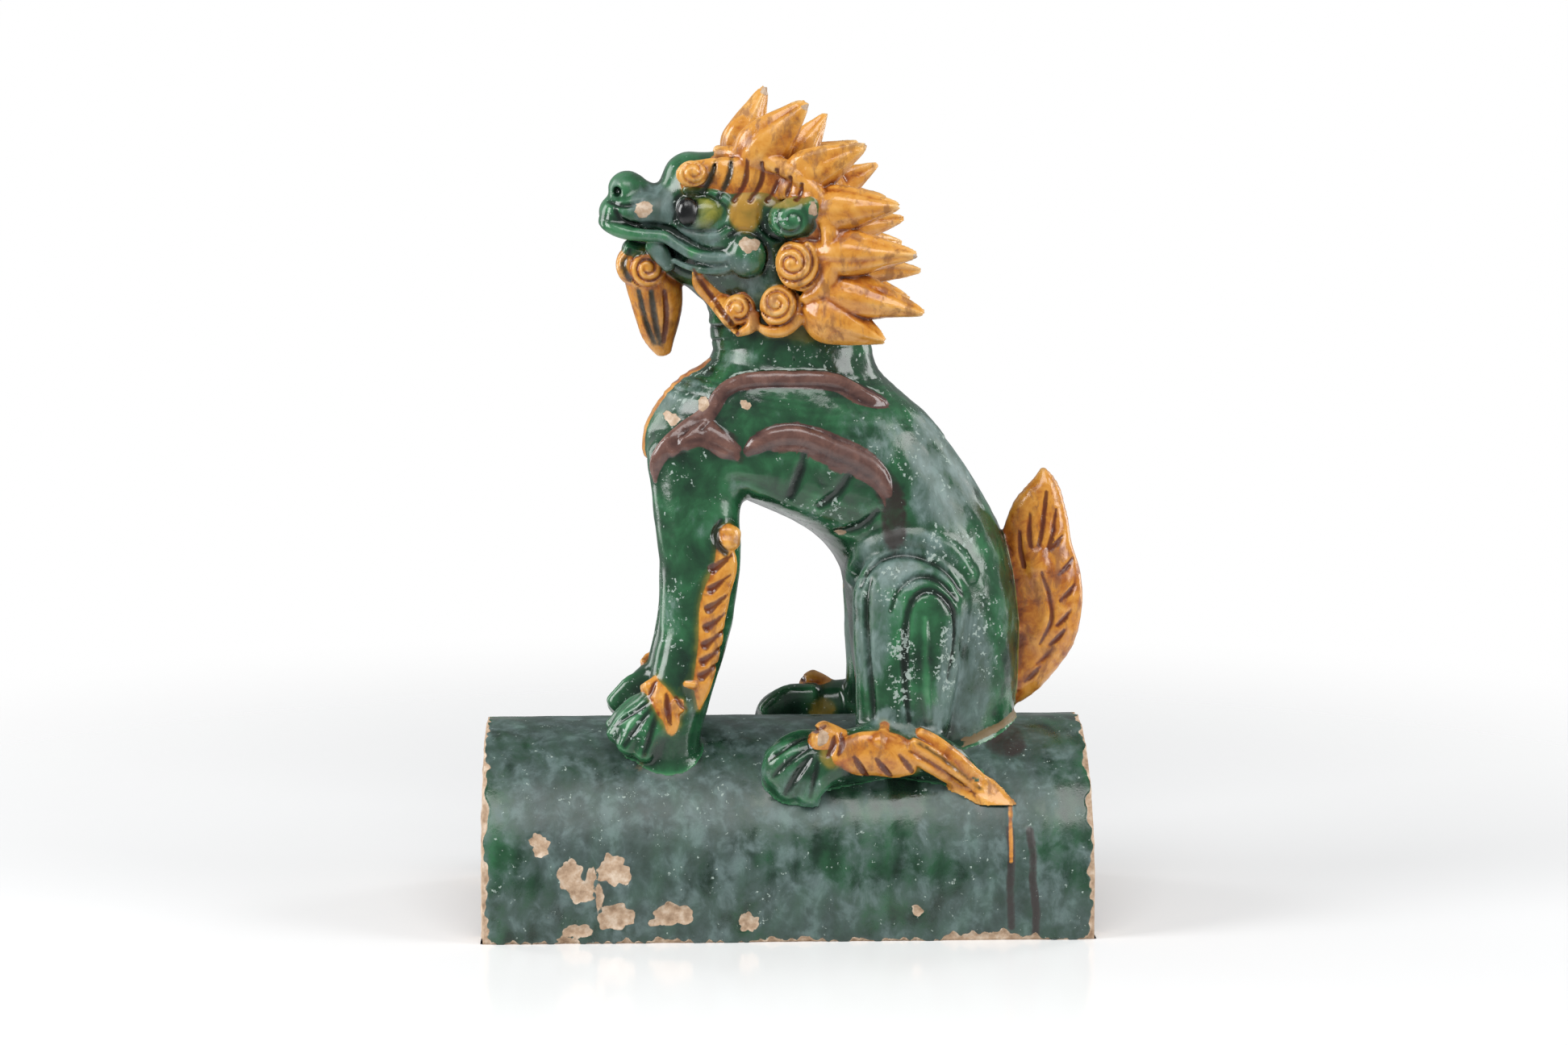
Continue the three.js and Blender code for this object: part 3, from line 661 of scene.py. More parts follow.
def shoulder_bands(side):
    """Rolled bands with a thin second roll below them, and the belly pressed into folds."""
    for band in (offset(UPPER_BAND, 0, 0, 1.2), BRANCH, LOWER_BAND):
        put(laid(band, side, 3, -0.6, flat=0.62), "brown", 0.7)
    put(laid(LOWER_EDGE, side, 2, -0.5, flat=0.7), "brown", 1.5)
    put(laid([[-43, 209, 3.4], [-36.4, 212.6, 4.4], [-29.4, 211, 3.6], [-25, 206.6, 2.4]], side, 3, -1, flat=0.5), "brown", 2.5)
    groove([[-44.6, 209.6, 0.5], [-38, 210.8, 0.8], [-30, 208.6, 0.8], [-23, 204.6, 0.5]], side, lift=0.3, stain="ink")
    put(laid(offset(LOWER_BAND[2:], -1, -4.8, 0.28), side, 2, -0.5, flat=0.7), "brown", 0.6)
    groove(offset(UPPER_BAND[4:-1], 0.3, -2.2, 0.22), side, 0.7, 0.5, stain="ink")
    for pleat in ([[7.6, 205, 1], [5.6, 197, 1.8], [1.7, 186.5, 1.6]], [[27, 195.6, 1], [21.5, 187.6, 1.8], [14, 182, 1.6]],
                  [[39, 180, 1], [31, 172.8, 1.8], [22, 169.6, 1.6]]):
        groove(pleat, side, lift=0.5, stain="deep", blend=2.2)


def leg_feathers(side):
    """A feather down the back of the foreleg, topped by a knob, and a flame over the ankle."""
    put(laid(offset(FEATHER, -0.6, 0, 1.15), side, 5, -0.9, flat=0.5), "amber", 0.8)
    put(laid([[-25.6, 167, 5.6], [-25.4, 171, 6]], side, 5, -0.6, flat=0.62, dome=1.0), "amber", 0.5)
    groove([[-27.6, 176.6, 0.8], [-30.6, 172, 1.3], [-29.6, 166.8, 1.4], [-26, 162.8, 1.1]], side, lift=0.3, stain="ink")
    for z in (156.4, 147.8, 139.4, 131.4, 123.8, 116.8, 110.4):
        x = -31.6 - 0.105 * (156.4 - z)
        groove([[x + 8.6, z + 6, 0.6], [x + 4, z + 2.6, 1.2], [x - 0.4, z - 0.4, 2.1]], side, lift=0.7)
    put(laid([[-39.6, 106.4, 1.8], [-43.6, 107.2, 1.2]], side, 2, -0.2), "amber", 0.6)
    put(laid(ANKLE_FLAME, side, 5, -0.9, flat=0.5), "amber", 0.8)
    put(laid([[-47.6, 99, 3.4], [-46.4, 95.4, 3]], side, 3, -0.6, flat=0.6), "amber", 0.8)
    put(laid([[-59, 104.6, 3], [-61.4, 103.4, 2.2]], side, 3, -0.6, flat=0.6), "amber", 0.8)
    groove([[-56.4, 107.6, 0.6], [-58, 104, 1.1], [-59.2, 101, 0.6]], side, lift=0.3)
    groove([[-51.6, 103, 0.7], [-51.2, 97, 1.5], [-50, 90, 0.7]], side, lift=0.4)
    groove([[-47.8, 102, 0.7], [-45, 98.4, 1.2], [-42.6, 96, 0.7]], side, lift=0.3)


def haunch_folds(side):
    """An arch over the knee, a smaller one inside it, and folds that fall to the foot."""
    put(laid(KNEE_RIDGE, side, 3, -0.8), "green", 4)
    groove([[31.6, 148, 0.8], [36, 156.4, 1.3], [46, 161.6, 1.4], [58, 160.6, 1.4], [68, 155, 1.3], [75.6, 145, 0.8]],
           side, lift=0.2, stain="deep", blend=1.6)
    groove([[43.6, 139, 0.7], [47.6, 148.6, 1.2], [56, 153.4, 1.3], [65, 151.4, 1.3], [72.4, 143, 0.8]],
           side, lift=0.2, stain="deep", blend=1.4)
    groove([[51.6, 92, 0.7], [50, 106, 1.3], [49.6, 122, 1.5], [50.6, 137, 1.5], [54, 144.6, 1.4], [60, 147.4, 1.3],
            [66.4, 144.6, 1.3], [71.4, 136.4, 1.2], [71.6, 124, 1], [68, 106, 0.8]], side, lift=0.2, stain="deep", blend=1.2)
    groove([[35.6, 152, 0.7], [33.4, 140, 1.5], [34, 122, 1.6], [35.6, 104, 1.4], [36.6, 93, 0.7]], side, lift=0.3,
           stain="deep", blend=1.6)
    put(laid([[58.4, 136, 0.8], [58.2, 120, 1.5], [58.8, 104, 1.5], [60, 93, 1]], side, 1.4, -0.4), "green", 1.6)


for side in (NEAR, FAR):
    shoulder_bands(side)
    leg_feathers(side)
    haunch_folds(side)


def foot_ornament(side):
    inward, up = FOOT_SHIFT[side]
    put(laid(offset(FOOT_BAND, 0, up), side, 8, -2.4, flat=0.5), "amber", 0.9)
    put(laid(offset([[38, 84, 3.4], [40.6, 88, 2], [41.6, 91, 1]], 0, up), side, 3, -0.8, flat=0.6), "amber", 0.8)
    for strand in HOCK_STRANDS:
        put(laid(offset(strand, 0, up, 1.1), side, 3, -0.3, flat=0.7), "amber", 0.5)
    for stain, line in (("ink", HOCK_STRANDS[0]), ("rust", HOCK_STRANDS[1])):
        groove(offset(line[:-1], -1, up - 2.7, 0.24), side, 0.8, 0.5, stain=stain)
    for stain, stroke in (
            ("rust", [[27.6, 78.6, 0.7], [30, 74.5, 1.3], [33.4, 69.4, 0.9]]),
            ("rust", [[37, 77.6, 0.7], [40, 73.5, 1.3], [43.2, 69.6, 0.9]]),
            ("rust", [[47, 79, 0.7], [50.4, 74.6, 1.2], [53, 70.6, 0.8]]),
            ("rust", [[9.6, 88.2, 0.7], [12.4, 89.8, 1.1], [15.4, 91.8, 0.7]]),
            ("rust", [[16.6, 78.6, 0.7], [18.6, 82.6, 1.2], [19.4, 87, 0.7]]),
            ("rust", [[21, 79.6, 0.7], [22.6, 83.6, 1.1], [22.6, 88, 0.7]]),
            ("deep", [[8.4, 86.2, 0.6], [0, 82.4, 1.1], [-8.6, 76.6, 0.7]]),
            ("ink", [[9.4, 78.6, 0.9], [4, 71.5, 1.7], [-1.6, 62, 1.1]]),
            ("deep", [[8.6, 82, 0.6], [-1, 75.6, 1.2], [-7.6, 68.6, 0.7]]),
            ("deep", [[12.4, 76.6, 0.6], [10.6, 68.6, 1.1], [9, 60.6, 0.7]])):
        groove(offset(stroke, 0, up), side, lift=0.35, stain=stain)
    for stroke in ([[-58, 100.2, 0.6], [-65, 95, 1.3], [-74, 88.6, 0.9]],
                   [[-57.6, 97.6, 0.6], [-63.4, 90, 1.4], [-70, 80.6, 0.9]],
                   [[-55.4, 95, 0.6], [-58.6, 86, 1.3], [-61.6, 76, 0.9]]):
        groove(stroke, side, lift=0.4, stain="deep")


for side in (NEAR, FAR):
    foot_ornament(side)
print("bands, feathers and flames laid on,", len(forms), "forms in all")

# %% [markdown]
# ## From clay to skin
#
# Hand-pressed clay is never quite smooth, so a little waviness is added first. The figure also has
# to sit on the tile: close to it the two are run together like luted clay. Then the skin is drawn:
# one point in every cell that the surface passes through, at the mean of its crossings, joined
# across every cell edge that changes sides. This is the naive surface nets method.

# %% Hand waviness and the seat on the tile
LUTING = 5.0
SKIRT = 1.6


def waves(x, y, z, seed, lengths):
    """A sum of plain sine waves, one for each wave length, each in its own random direction."""
    rng = np.random.default_rng(seed)
    total = 0.0
    for length in lengths:
        way = rng.normal(size=3)
        way *= 2 * np.pi / length / np.linalg.norm(way)
        total = total + np.sin(way[0] * x + way[1] * y + way[2] * z + rng.uniform(0, 6.28))
    return total / len(lengths)


def tile_distance(y, z):
    """Distance to the outside of the half-round tile: to a circle above the springing line, and to
    a flat side below it."""
    above = np.sqrt(y * y + np.maximum(z - TILE_SPRING, 0) ** 2) - TILE_RADIUS
    return above


_, gx, gy, gz = window(LOW, HIGH)
for start in range(0, COUNT[0], 40):
    rows = slice(start, start + 40)
    x = gx[rows]
    clay[rows] += (0.34 * waves(x, gy, gz, 3, (34, 27, 22, 17)) + 0.14 * waves(x, gy, gz, 8, (9, 7.5, 6, 5))
                   ).astype(np.float32)
figure_only = clay
tile_here = tile_distance(gy, gz).astype(np.float32) + np.zeros_like(gx)
seated = soft_min(figure_only, tile_here, LUTING)
seated = np.maximum(seated, figure_only - tile_here - SKIRT)
seated = np.maximum(seated, -tile_here - 9.0)
print("clay seated on the tile")


# %% Draw the skin
def surface_nets(field):
    """Points and four-sided faces of the surface where field is nought."""
    inside = field < 0
    corners = [inside[i:COUNT[0] - 1 + i, j:COUNT[1] - 1 + j, k:COUNT[2] - 1 + k]
               for i in (0, 1) for j in (0, 1) for k in (0, 1)]
    some, every = np.logical_or.reduce(corners), np.logical_and.reduce(corners)
    cells = np.argwhere(some & ~every)
    number = np.full(some.shape, -1, np.int32)
    number[tuple(cells.T)] = np.arange(len(cells))
    corner_at = np.array([(i, j, k) for i in (0, 1) for j in (0, 1) for k in (0, 1)])
    values = np.stack([field[tuple((cells + c).T)] for c in corner_at], 1)
    total, crossings = np.zeros((len(cells), 3)), np.zeros(len(cells))
    for a in range(8):
        for b in range(a + 1, 8):
            if np.abs(corner_at[a] - corner_at[b]).sum() != 1:
                continue
            va, vb = values[:, a], values[:, b]
            hit = (va < 0) != (vb < 0)
            t = np.where(hit, va / np.where(hit, va - vb, 1), 0)[:, None]
            total += hit[:, None] * (corner_at[a] + t * (corner_at[b] - corner_at[a]))
            crossings += hit
    points = LOW + VOXEL * (cells + total / crossings[:, None])
    faces = []
    for axis in range(3):
        u, v = (axis + 1) % 3, (axis + 2) % 3
        here = [slice(1, -1)] * 3
        here[axis] = slice(0, -1)
        there = list(here)
        there[axis] = slice(1, None)
        a, b = inside[tuple(here)], inside[tuple(there)]
        at = np.argwhere(a != b)
        leaving = a[tuple(at.T)]
        base = at + 1
        base[:, axis] -= 1
        step_u, step_v = np.eye(3, dtype=int)[u], np.eye(3, dtype=int)[v]
        quad = np.stack([number[tuple((base - s).T)]
                         for s in (step_u + step_v, step_v, 0 * step_u, step_u)], 1)
        quad[~leaving] = quad[~leaving][:, ::-1]
        faces.append(quad)
    faces = np.concatenate(faces)
    return points, faces[(faces >= 0).all(1)]


def spread(field, reach):
    """Mean of the field over a cube of cells, found by running sums along each axis, twice."""
    out = field.astype(np.float32)
    for _ in range(2):
        for axis in range(3):
            out = np.moveaxis(out, axis, 0)
            padded = np.concatenate([out[:1]] * (reach + 1) + [out] + [out[-1:]] * reach)
            sums = np.cumsum(padded, 0, dtype=np.float64)
            out = ((sums[2 * reach + 1:] - sums[:-2 * reach - 1]) / (2 * reach + 1)).astype(np.float32)
            out = np.moveaxis(out, 0, axis)
    return out


def sample(field, points):
    """The field at free points, by the usual blend of the eight corners round each."""
    place = (points - LOW) / VOXEL
    first = np.clip(np.floor(place).astype(int), 0, COUNT - 2)
    t = place - first
    out = 0.0
    for i in (0, 1):
        for j in (0, 1):
            for k in (0, 1):
                share = (np.where(i, t[:, 0], 1 - t[:, 0]) * np.where(j, t[:, 1], 1 - t[:, 1])
                         * np.where(k, t[:, 2], 1 - t[:, 2]))
                out = out + share * field[first[:, 0] + i, first[:, 1] + j, first[:, 2] + k]
    return out


skin_points, skin_faces = surface_nets(seated)
print("skin:", len(skin_points), "points,", len(skin_faces), "faces")

# %% [markdown]
# ## Where each glaze lies
#
# The potter dabbed each glaze on its own part before the one firing, and the glazes ran a little
# where they met. Every point of the skin asks which group of forms it is nearest to. Those
# distances become soft masks, and the shader breaks their edges up. A second number tells hollows
# from edges, because glaze pools dark in a groove and thins over a ridge.

# %% Masks from the forms
def nearest(points, wanted):
    """Distance from each point to the nearest form of one glaze or stain."""
    out = np.full(len(points), FAR_AWAY)
    for glaze, form in forms:
        if glaze != wanted:
            continue
        near = ((points > form.low - 6) & (points < form.high + 6)).all(1)
        if near.any():
            p = points[near]
            out[near] = np.minimum(out[near], form.distance(p[:, 0], p[:, 1], p[:, 2]))
    return out


def soft_step(value, low, high):
    """0 below low, 1 above high, and the curve 3t squared - 2t cubed between."""
    t = np.clip((value - low) / (high - low), 0, 1)
    return t * t * (3 - 2 * t)


def blob(points, centre, radii):
    """1 at the middle of a stretched ball, falling to 0 at its edge. A radius of None is endless."""
    q = [(points[:, i] - centre[i]) / radii[i] for i in range(3) if radii[i] is not None]
    return np.clip(1 - np.sqrt(sum(v * v for v in q)), 0, 1)


def along_line(points, line, side=None):
    """Distance in the X-Z plane from each point to a line of (x, z) points."""
    out = np.full(len(points), FAR_AWAY)
    p = points[:, [0, 2]]
    for a, b in zip(np.asarray(line, float)[:, :2], np.asarray(line, float)[1:, :2]):
        run = b - a
        t = np.clip(((p - a) @ run) / (run @ run), 0, 1)[:, None]
        out = np.minimum(out, np.linalg.norm(p - a - t * run, axis=1))
    if side is not None:
        out = np.where(np.sign(points[:, 1]) == side, out, FAR_AWAY)
    return out


def soft_patches(points, patches):
    """Soft-edged ovals in side view: each is (x, z, half width, half height, strength)."""
    out = np.zeros(len(points))
    for x, z, rx, rz, strength in patches:
        out = np.maximum(out, strength * soft_step(blob(points, (x, 0, z), (rx, None, rz)), 0.02, 0.45))
    return out


# Where the green is clouded, where it is freckled, where amber ran into it, and where the amber
# fired darkest.
CLOUDED = [(-56, 309, 12, 12, 1.0), (-30, 284, 18, 8, 0.7), (70, 200, 26, 40, 0.8), (38, 212, 26, 16, 0.5),
           (52, 160, 32, 16, 0.8), (76, 110, 16, 40, 1.0), (34, 130, 12, 36, 0.5), (56, 92, 34, 9, 0.8),
           (-10, 66, 30, 9, 0.4), (-44, 228, 16, 14, 0.5),
           (-50, 288, 12, 9, 0.8), (-38, 297, 14, 6, 0.7), (-14, 272, 8, 12, 0.6)]
FRECKLED = [(48, 115, 8, 26, 1.0), (68, 118, 7, 18, 0.9), (40, 150, 16, 10, 0.6), (70, 165, 18, 12, 0.7),
            (-6, 302, 9, 9, 0.7), (-44, 214, 14, 26, 0.5), (60, 205, 26, 24, 0.5), (10, 178, 26, 12, 0.6),
            (-52, 130, 12, 30, 0.4), (-66, 88, 14, 12, 0.6), (86, 130, 10, 40, 0.5),
            (-38, 234, 16, 16, 0.6), (14, 246, 30, 8, 0.6), (-20, 286, 26, 14, 0.4)]
YELLOWED = [(-17, 307, 10, 12, 0.8), (-4, 314, 22, 7, 0.6), (6, 256, 12, 8, 0.45), (19, 80, 9, 10, 0.6), (48, 74, 14, 8, 0.5),
            (-62, 116, 6, 6, 0.8)]
BURNT = [(112, 140, 40, 70, -0.12), (-57, 266, 20, 40, -0.12), (-33, 130, 16, 60, -0.08),
         (-50, 96, 18, 24, -0.1), (34, 78, 70, 26, -0.1), (-30, 270, 26, 24, -0.08)]


def glaze_masks(points, fine, broad):
    """Every mask that the glaze shader reads, by name. fine and broad are above 0 on a ridge."""
    to = {glaze: nearest(points, glaze) for glaze in ("green", "amber", "brown", "pupil", "eyeball")}
    stain = {name: 1 - soft_step(nearest(points, name), 0.0, 0.9) for name in ("rust", "ink", "deep")}
    x, y, z = points.T
    strip = soft_step(8.5 - np.abs(y), 0, 3) * (x < -25) * soft_step(z, 172, 182) * soft_step(246 - z, 0, 6)
    yellow = soft_patches(points, YELLOWED)
    yellow = np.maximum(yellow, 0.5 * soft_step(3.2 - to["amber"], 0, 3.2) * soft_step(z, 78, 90))
    brown = soft_step(np.minimum(to["green"], to["amber"]) - to["brown"], -0.8, 1.0) * (to["brown"] < 4)
    below = soft_step(209 - z, 0, 4)
    burnt = -soft_patches(points, [(*p[:4], -p[4]) for p in BURNT])
    seat_line = soft_step(3.2 - np.abs(z - (79 + 0.32 * (x - 76))), 0, 2) * (x > 76) * (z > 70) * (z < 96)
    worn = np.minimum(along_line(points, offset(UPPER_BAND[3:], 0, 4.4)), along_line(points, offset(LOWER_BAND, 0, 4.6)))
    return {
        "thin": np.clip(0.5 + 0.3 * fine + 0.3 * broad - 0.22 * stain["deep"] + burnt, 0, 1),
        "amber": np.maximum(soft_step(np.minimum(to["green"], to["brown"]) - to["amber"], -0.9, 1.1), strip),
        "yellow": yellow,
        "brown": brown,
        "pupil": 1 - soft_step(to["pupil"], 0.3, 0.8),
        "eyeball": (1 - soft_step(to["eyeball"], 0.3, 1.0)) * soft_step(x, -41, -31),
        "rust": stain["rust"],
        "ink": stain["ink"],
        # painted shade: dark brown below the lower band and its lower edge, under the band's end and in the fold
        # between the bands
        "painted_shade_and_drip_stain": np.maximum.reduce([soft_step(9 - along_line(points, LOWER_BAND[3:]), 0, 7) * below,
                                    soft_step(7 - along_line(points, LOWER_EDGE), 0, 6) * below * 0.8,
                                    soft_patches(points, [(46, 178, 8, 22, 1.0), (-28, 211, 10, 6, 0.9)])]),
        "worn": soft_step(2.0 - worn, 0, 1.6) * (1 - brown),
        "freckle": soft_patches(points, FRECKLED),
        "bloom": soft_patches(points, CLOUDED),
        "glue": np.maximum(seat_line, 0.45 * soft_step(blob(points, (-60, -40, 78), (20, 16, 12)), 0.05, 0.5))}


print("mask makers ready")

# %% Chips: bare clay where the glaze has flaked
class Chip:
    """A flake off the skin: an oval in side view with a wavering edge."""

    def __init__(self, x, y, z, rx, rz, seed):
        self.x, self.y, self.z, self.rx, self.rz = x, y, z, rx, rz
        rng = np.random.default_rng(seed)
        self.waver = [(n, rng.uniform(0.03, 0.3 / n + 0.05), rng.uniform(0, 6.28)) for n in (2, 3, 5, 7, 11)]

    def inside(self, points):
        """How far inside the flake's edge each point is, in mm."""
        u, v = (points[:, 0] - self.x) / self.rx, (points[:, 2] - self.z) / self.rz
        angle = np.arctan2(v, u)
        edge = 1 + sum(a * np.sin(n * angle + p) for n, a, p in self.waver)
        reach = (edge - np.sqrt(u * u + v * v)) * min(self.rx, self.rz)
        return np.where(np.abs(points[:, 1] - self.y) < 26, reach, -FAR_AWAY)


def bare(inside):
    """The bare-clay mask from millimetres inside an edge: 0.5 at the edge, a quarter for each mm."""
    return np.clip(0.5 + inside / 4, 0, 1)


FIGURE_CHIPS = [
    Chip(-60.4, -17, 308, 3.8, 3.6, 1), Chip(-15.6, -34, 293.6, 4.2, 3.4, 2), Chip(11, -36, 309, 1.9, 3.6, 3),
    Chip(-48.8, -30, 218.8, 3.2, 2.6, 4), Chip(-35.2, -34, 225.6, 2.8, 2.6, 5),
    Chip(-17.4, -36, 225.8, 2.2, 2.8, 6), Chip(14.4, -58, 86.4, 2.6, 3.2, 7), Chip(-7.6, 0, 358.5, 2.2, 2, 8),
    Chip(9, -24, 351.6, 2, 1.6, 9), Chip(54.6, -46, 289, 1.6, 1.8, 10), Chip(24, -36, 170, 3.2, 1.2, 11),
    Chip(62, 36, 205, 4, 3, 12), Chip(30, 36, 140, 2.5, 3.5, 13)]


def chipped(points, chips):
    """Millimetres inside the nearest flake's edge."""
    return np.maximum.reduce([c.inside(points) for c in chips])


# %% Mesh helpers
def make_piece(name, points, faces, masks, material):
    """A mesh object at the origin from points in millimetres, with each mask as an attribute."""
    mesh = bpy.data.meshes.new(name)
    faces = np.asarray(faces)
    sides = faces.shape[1]
    mesh.vertices.add(len(points))
    mesh.vertices.foreach_set("co", (np.asarray(points) * MM).astype(np.float32).ravel())
    mesh.loops.add(faces.size)
    mesh.loops.foreach_set("vertex_index", faces.astype(np.int32).ravel())
    mesh.polygons.add(len(faces))
    mesh.polygons.foreach_set("loop_start", np.arange(0, faces.size, sides, dtype=np.int32))
    mesh.update(calc_edges=True)
    mesh.validate()
    mesh.shade_smooth()
    for mask, values in masks.items():
        data = mesh.attributes.new(mask, "FLOAT", "POINT")
        data.data.foreach_set("value", np.broadcast_to(values, len(points)).astype(np.float32).copy())
    mesh.materials.append(material)
    piece = bpy.data.objects.new(name, mesh)
    bpy.context.scene.collection.objects.link(piece)
    return piece


def thin_out(piece, most):
    """Collapse short edges until the piece has at most so many triangles."""
    mesh = piece.data
    mesh.calc_loop_triangles()
    count = len(mesh.loop_triangles)
    if count > most:
        tool = piece.modifiers.new("thin", "DECIMATE")
        tool.ratio = most / count
        graph = bpy.context.evaluated_depsgraph_get()
        thin = bpy.data.meshes.new_from_object(piece.evaluated_get(graph))
        piece.modifiers.clear()
        piece.data = thin
        bpy.data.meshes.remove(mesh)
        piece.data.name = piece.name
        thin.shade_smooth()
        thin.calc_loop_triangles()
    print(piece.name, "had", count, "triangles, has", len(piece.data.loop_triangles))


def write_masks(piece, masks):
    mesh = piece.data
    for mask, values in masks.items():
        data = mesh.attributes.new(mask, "FLOAT", "POINT")
        data.data.foreach_set("value", np.asarray(values, np.float32).copy())


def points_of(piece):
    out = np.empty(len(piece.data.vertices) * 3, np.float32)
    piece.data.vertices.foreach_get("co", out)
    return out.reshape(-1, 3) / MM


# %% [markdown]
# ## The glaze
#
# Sancai glaze is a lead glass coloured by metal oxides: copper gives green, iron amber, manganese a
# brownish purple. It was brushed over a buff earthenware and fired low, so it ran, pooled and
# crazed. Centuries on a roof left it weathered: the green is clouded by a grey bloom, freckled
# where the bloom has flaked, and only sheltered parts keep their wet shine.
#
# One material carries all of it, because the glazes run into one another.

# %% Lead glaze material
MASKS = ("thin", "amber", "yellow", "brown", "pupil", "eyeball", "rust", "ink", "painted_shade_and_drip_stain", "worn", "freckle", "bloom",
         "glue", "chip")
LUMPS = {26: (3, 0.5, 0.3), 9: (5, 0.55, 0.4), 4: (5, 0.62, 0.6), 2: (4, 0.6, 0.0), 0.9: (3, 0.6, 0.0)}


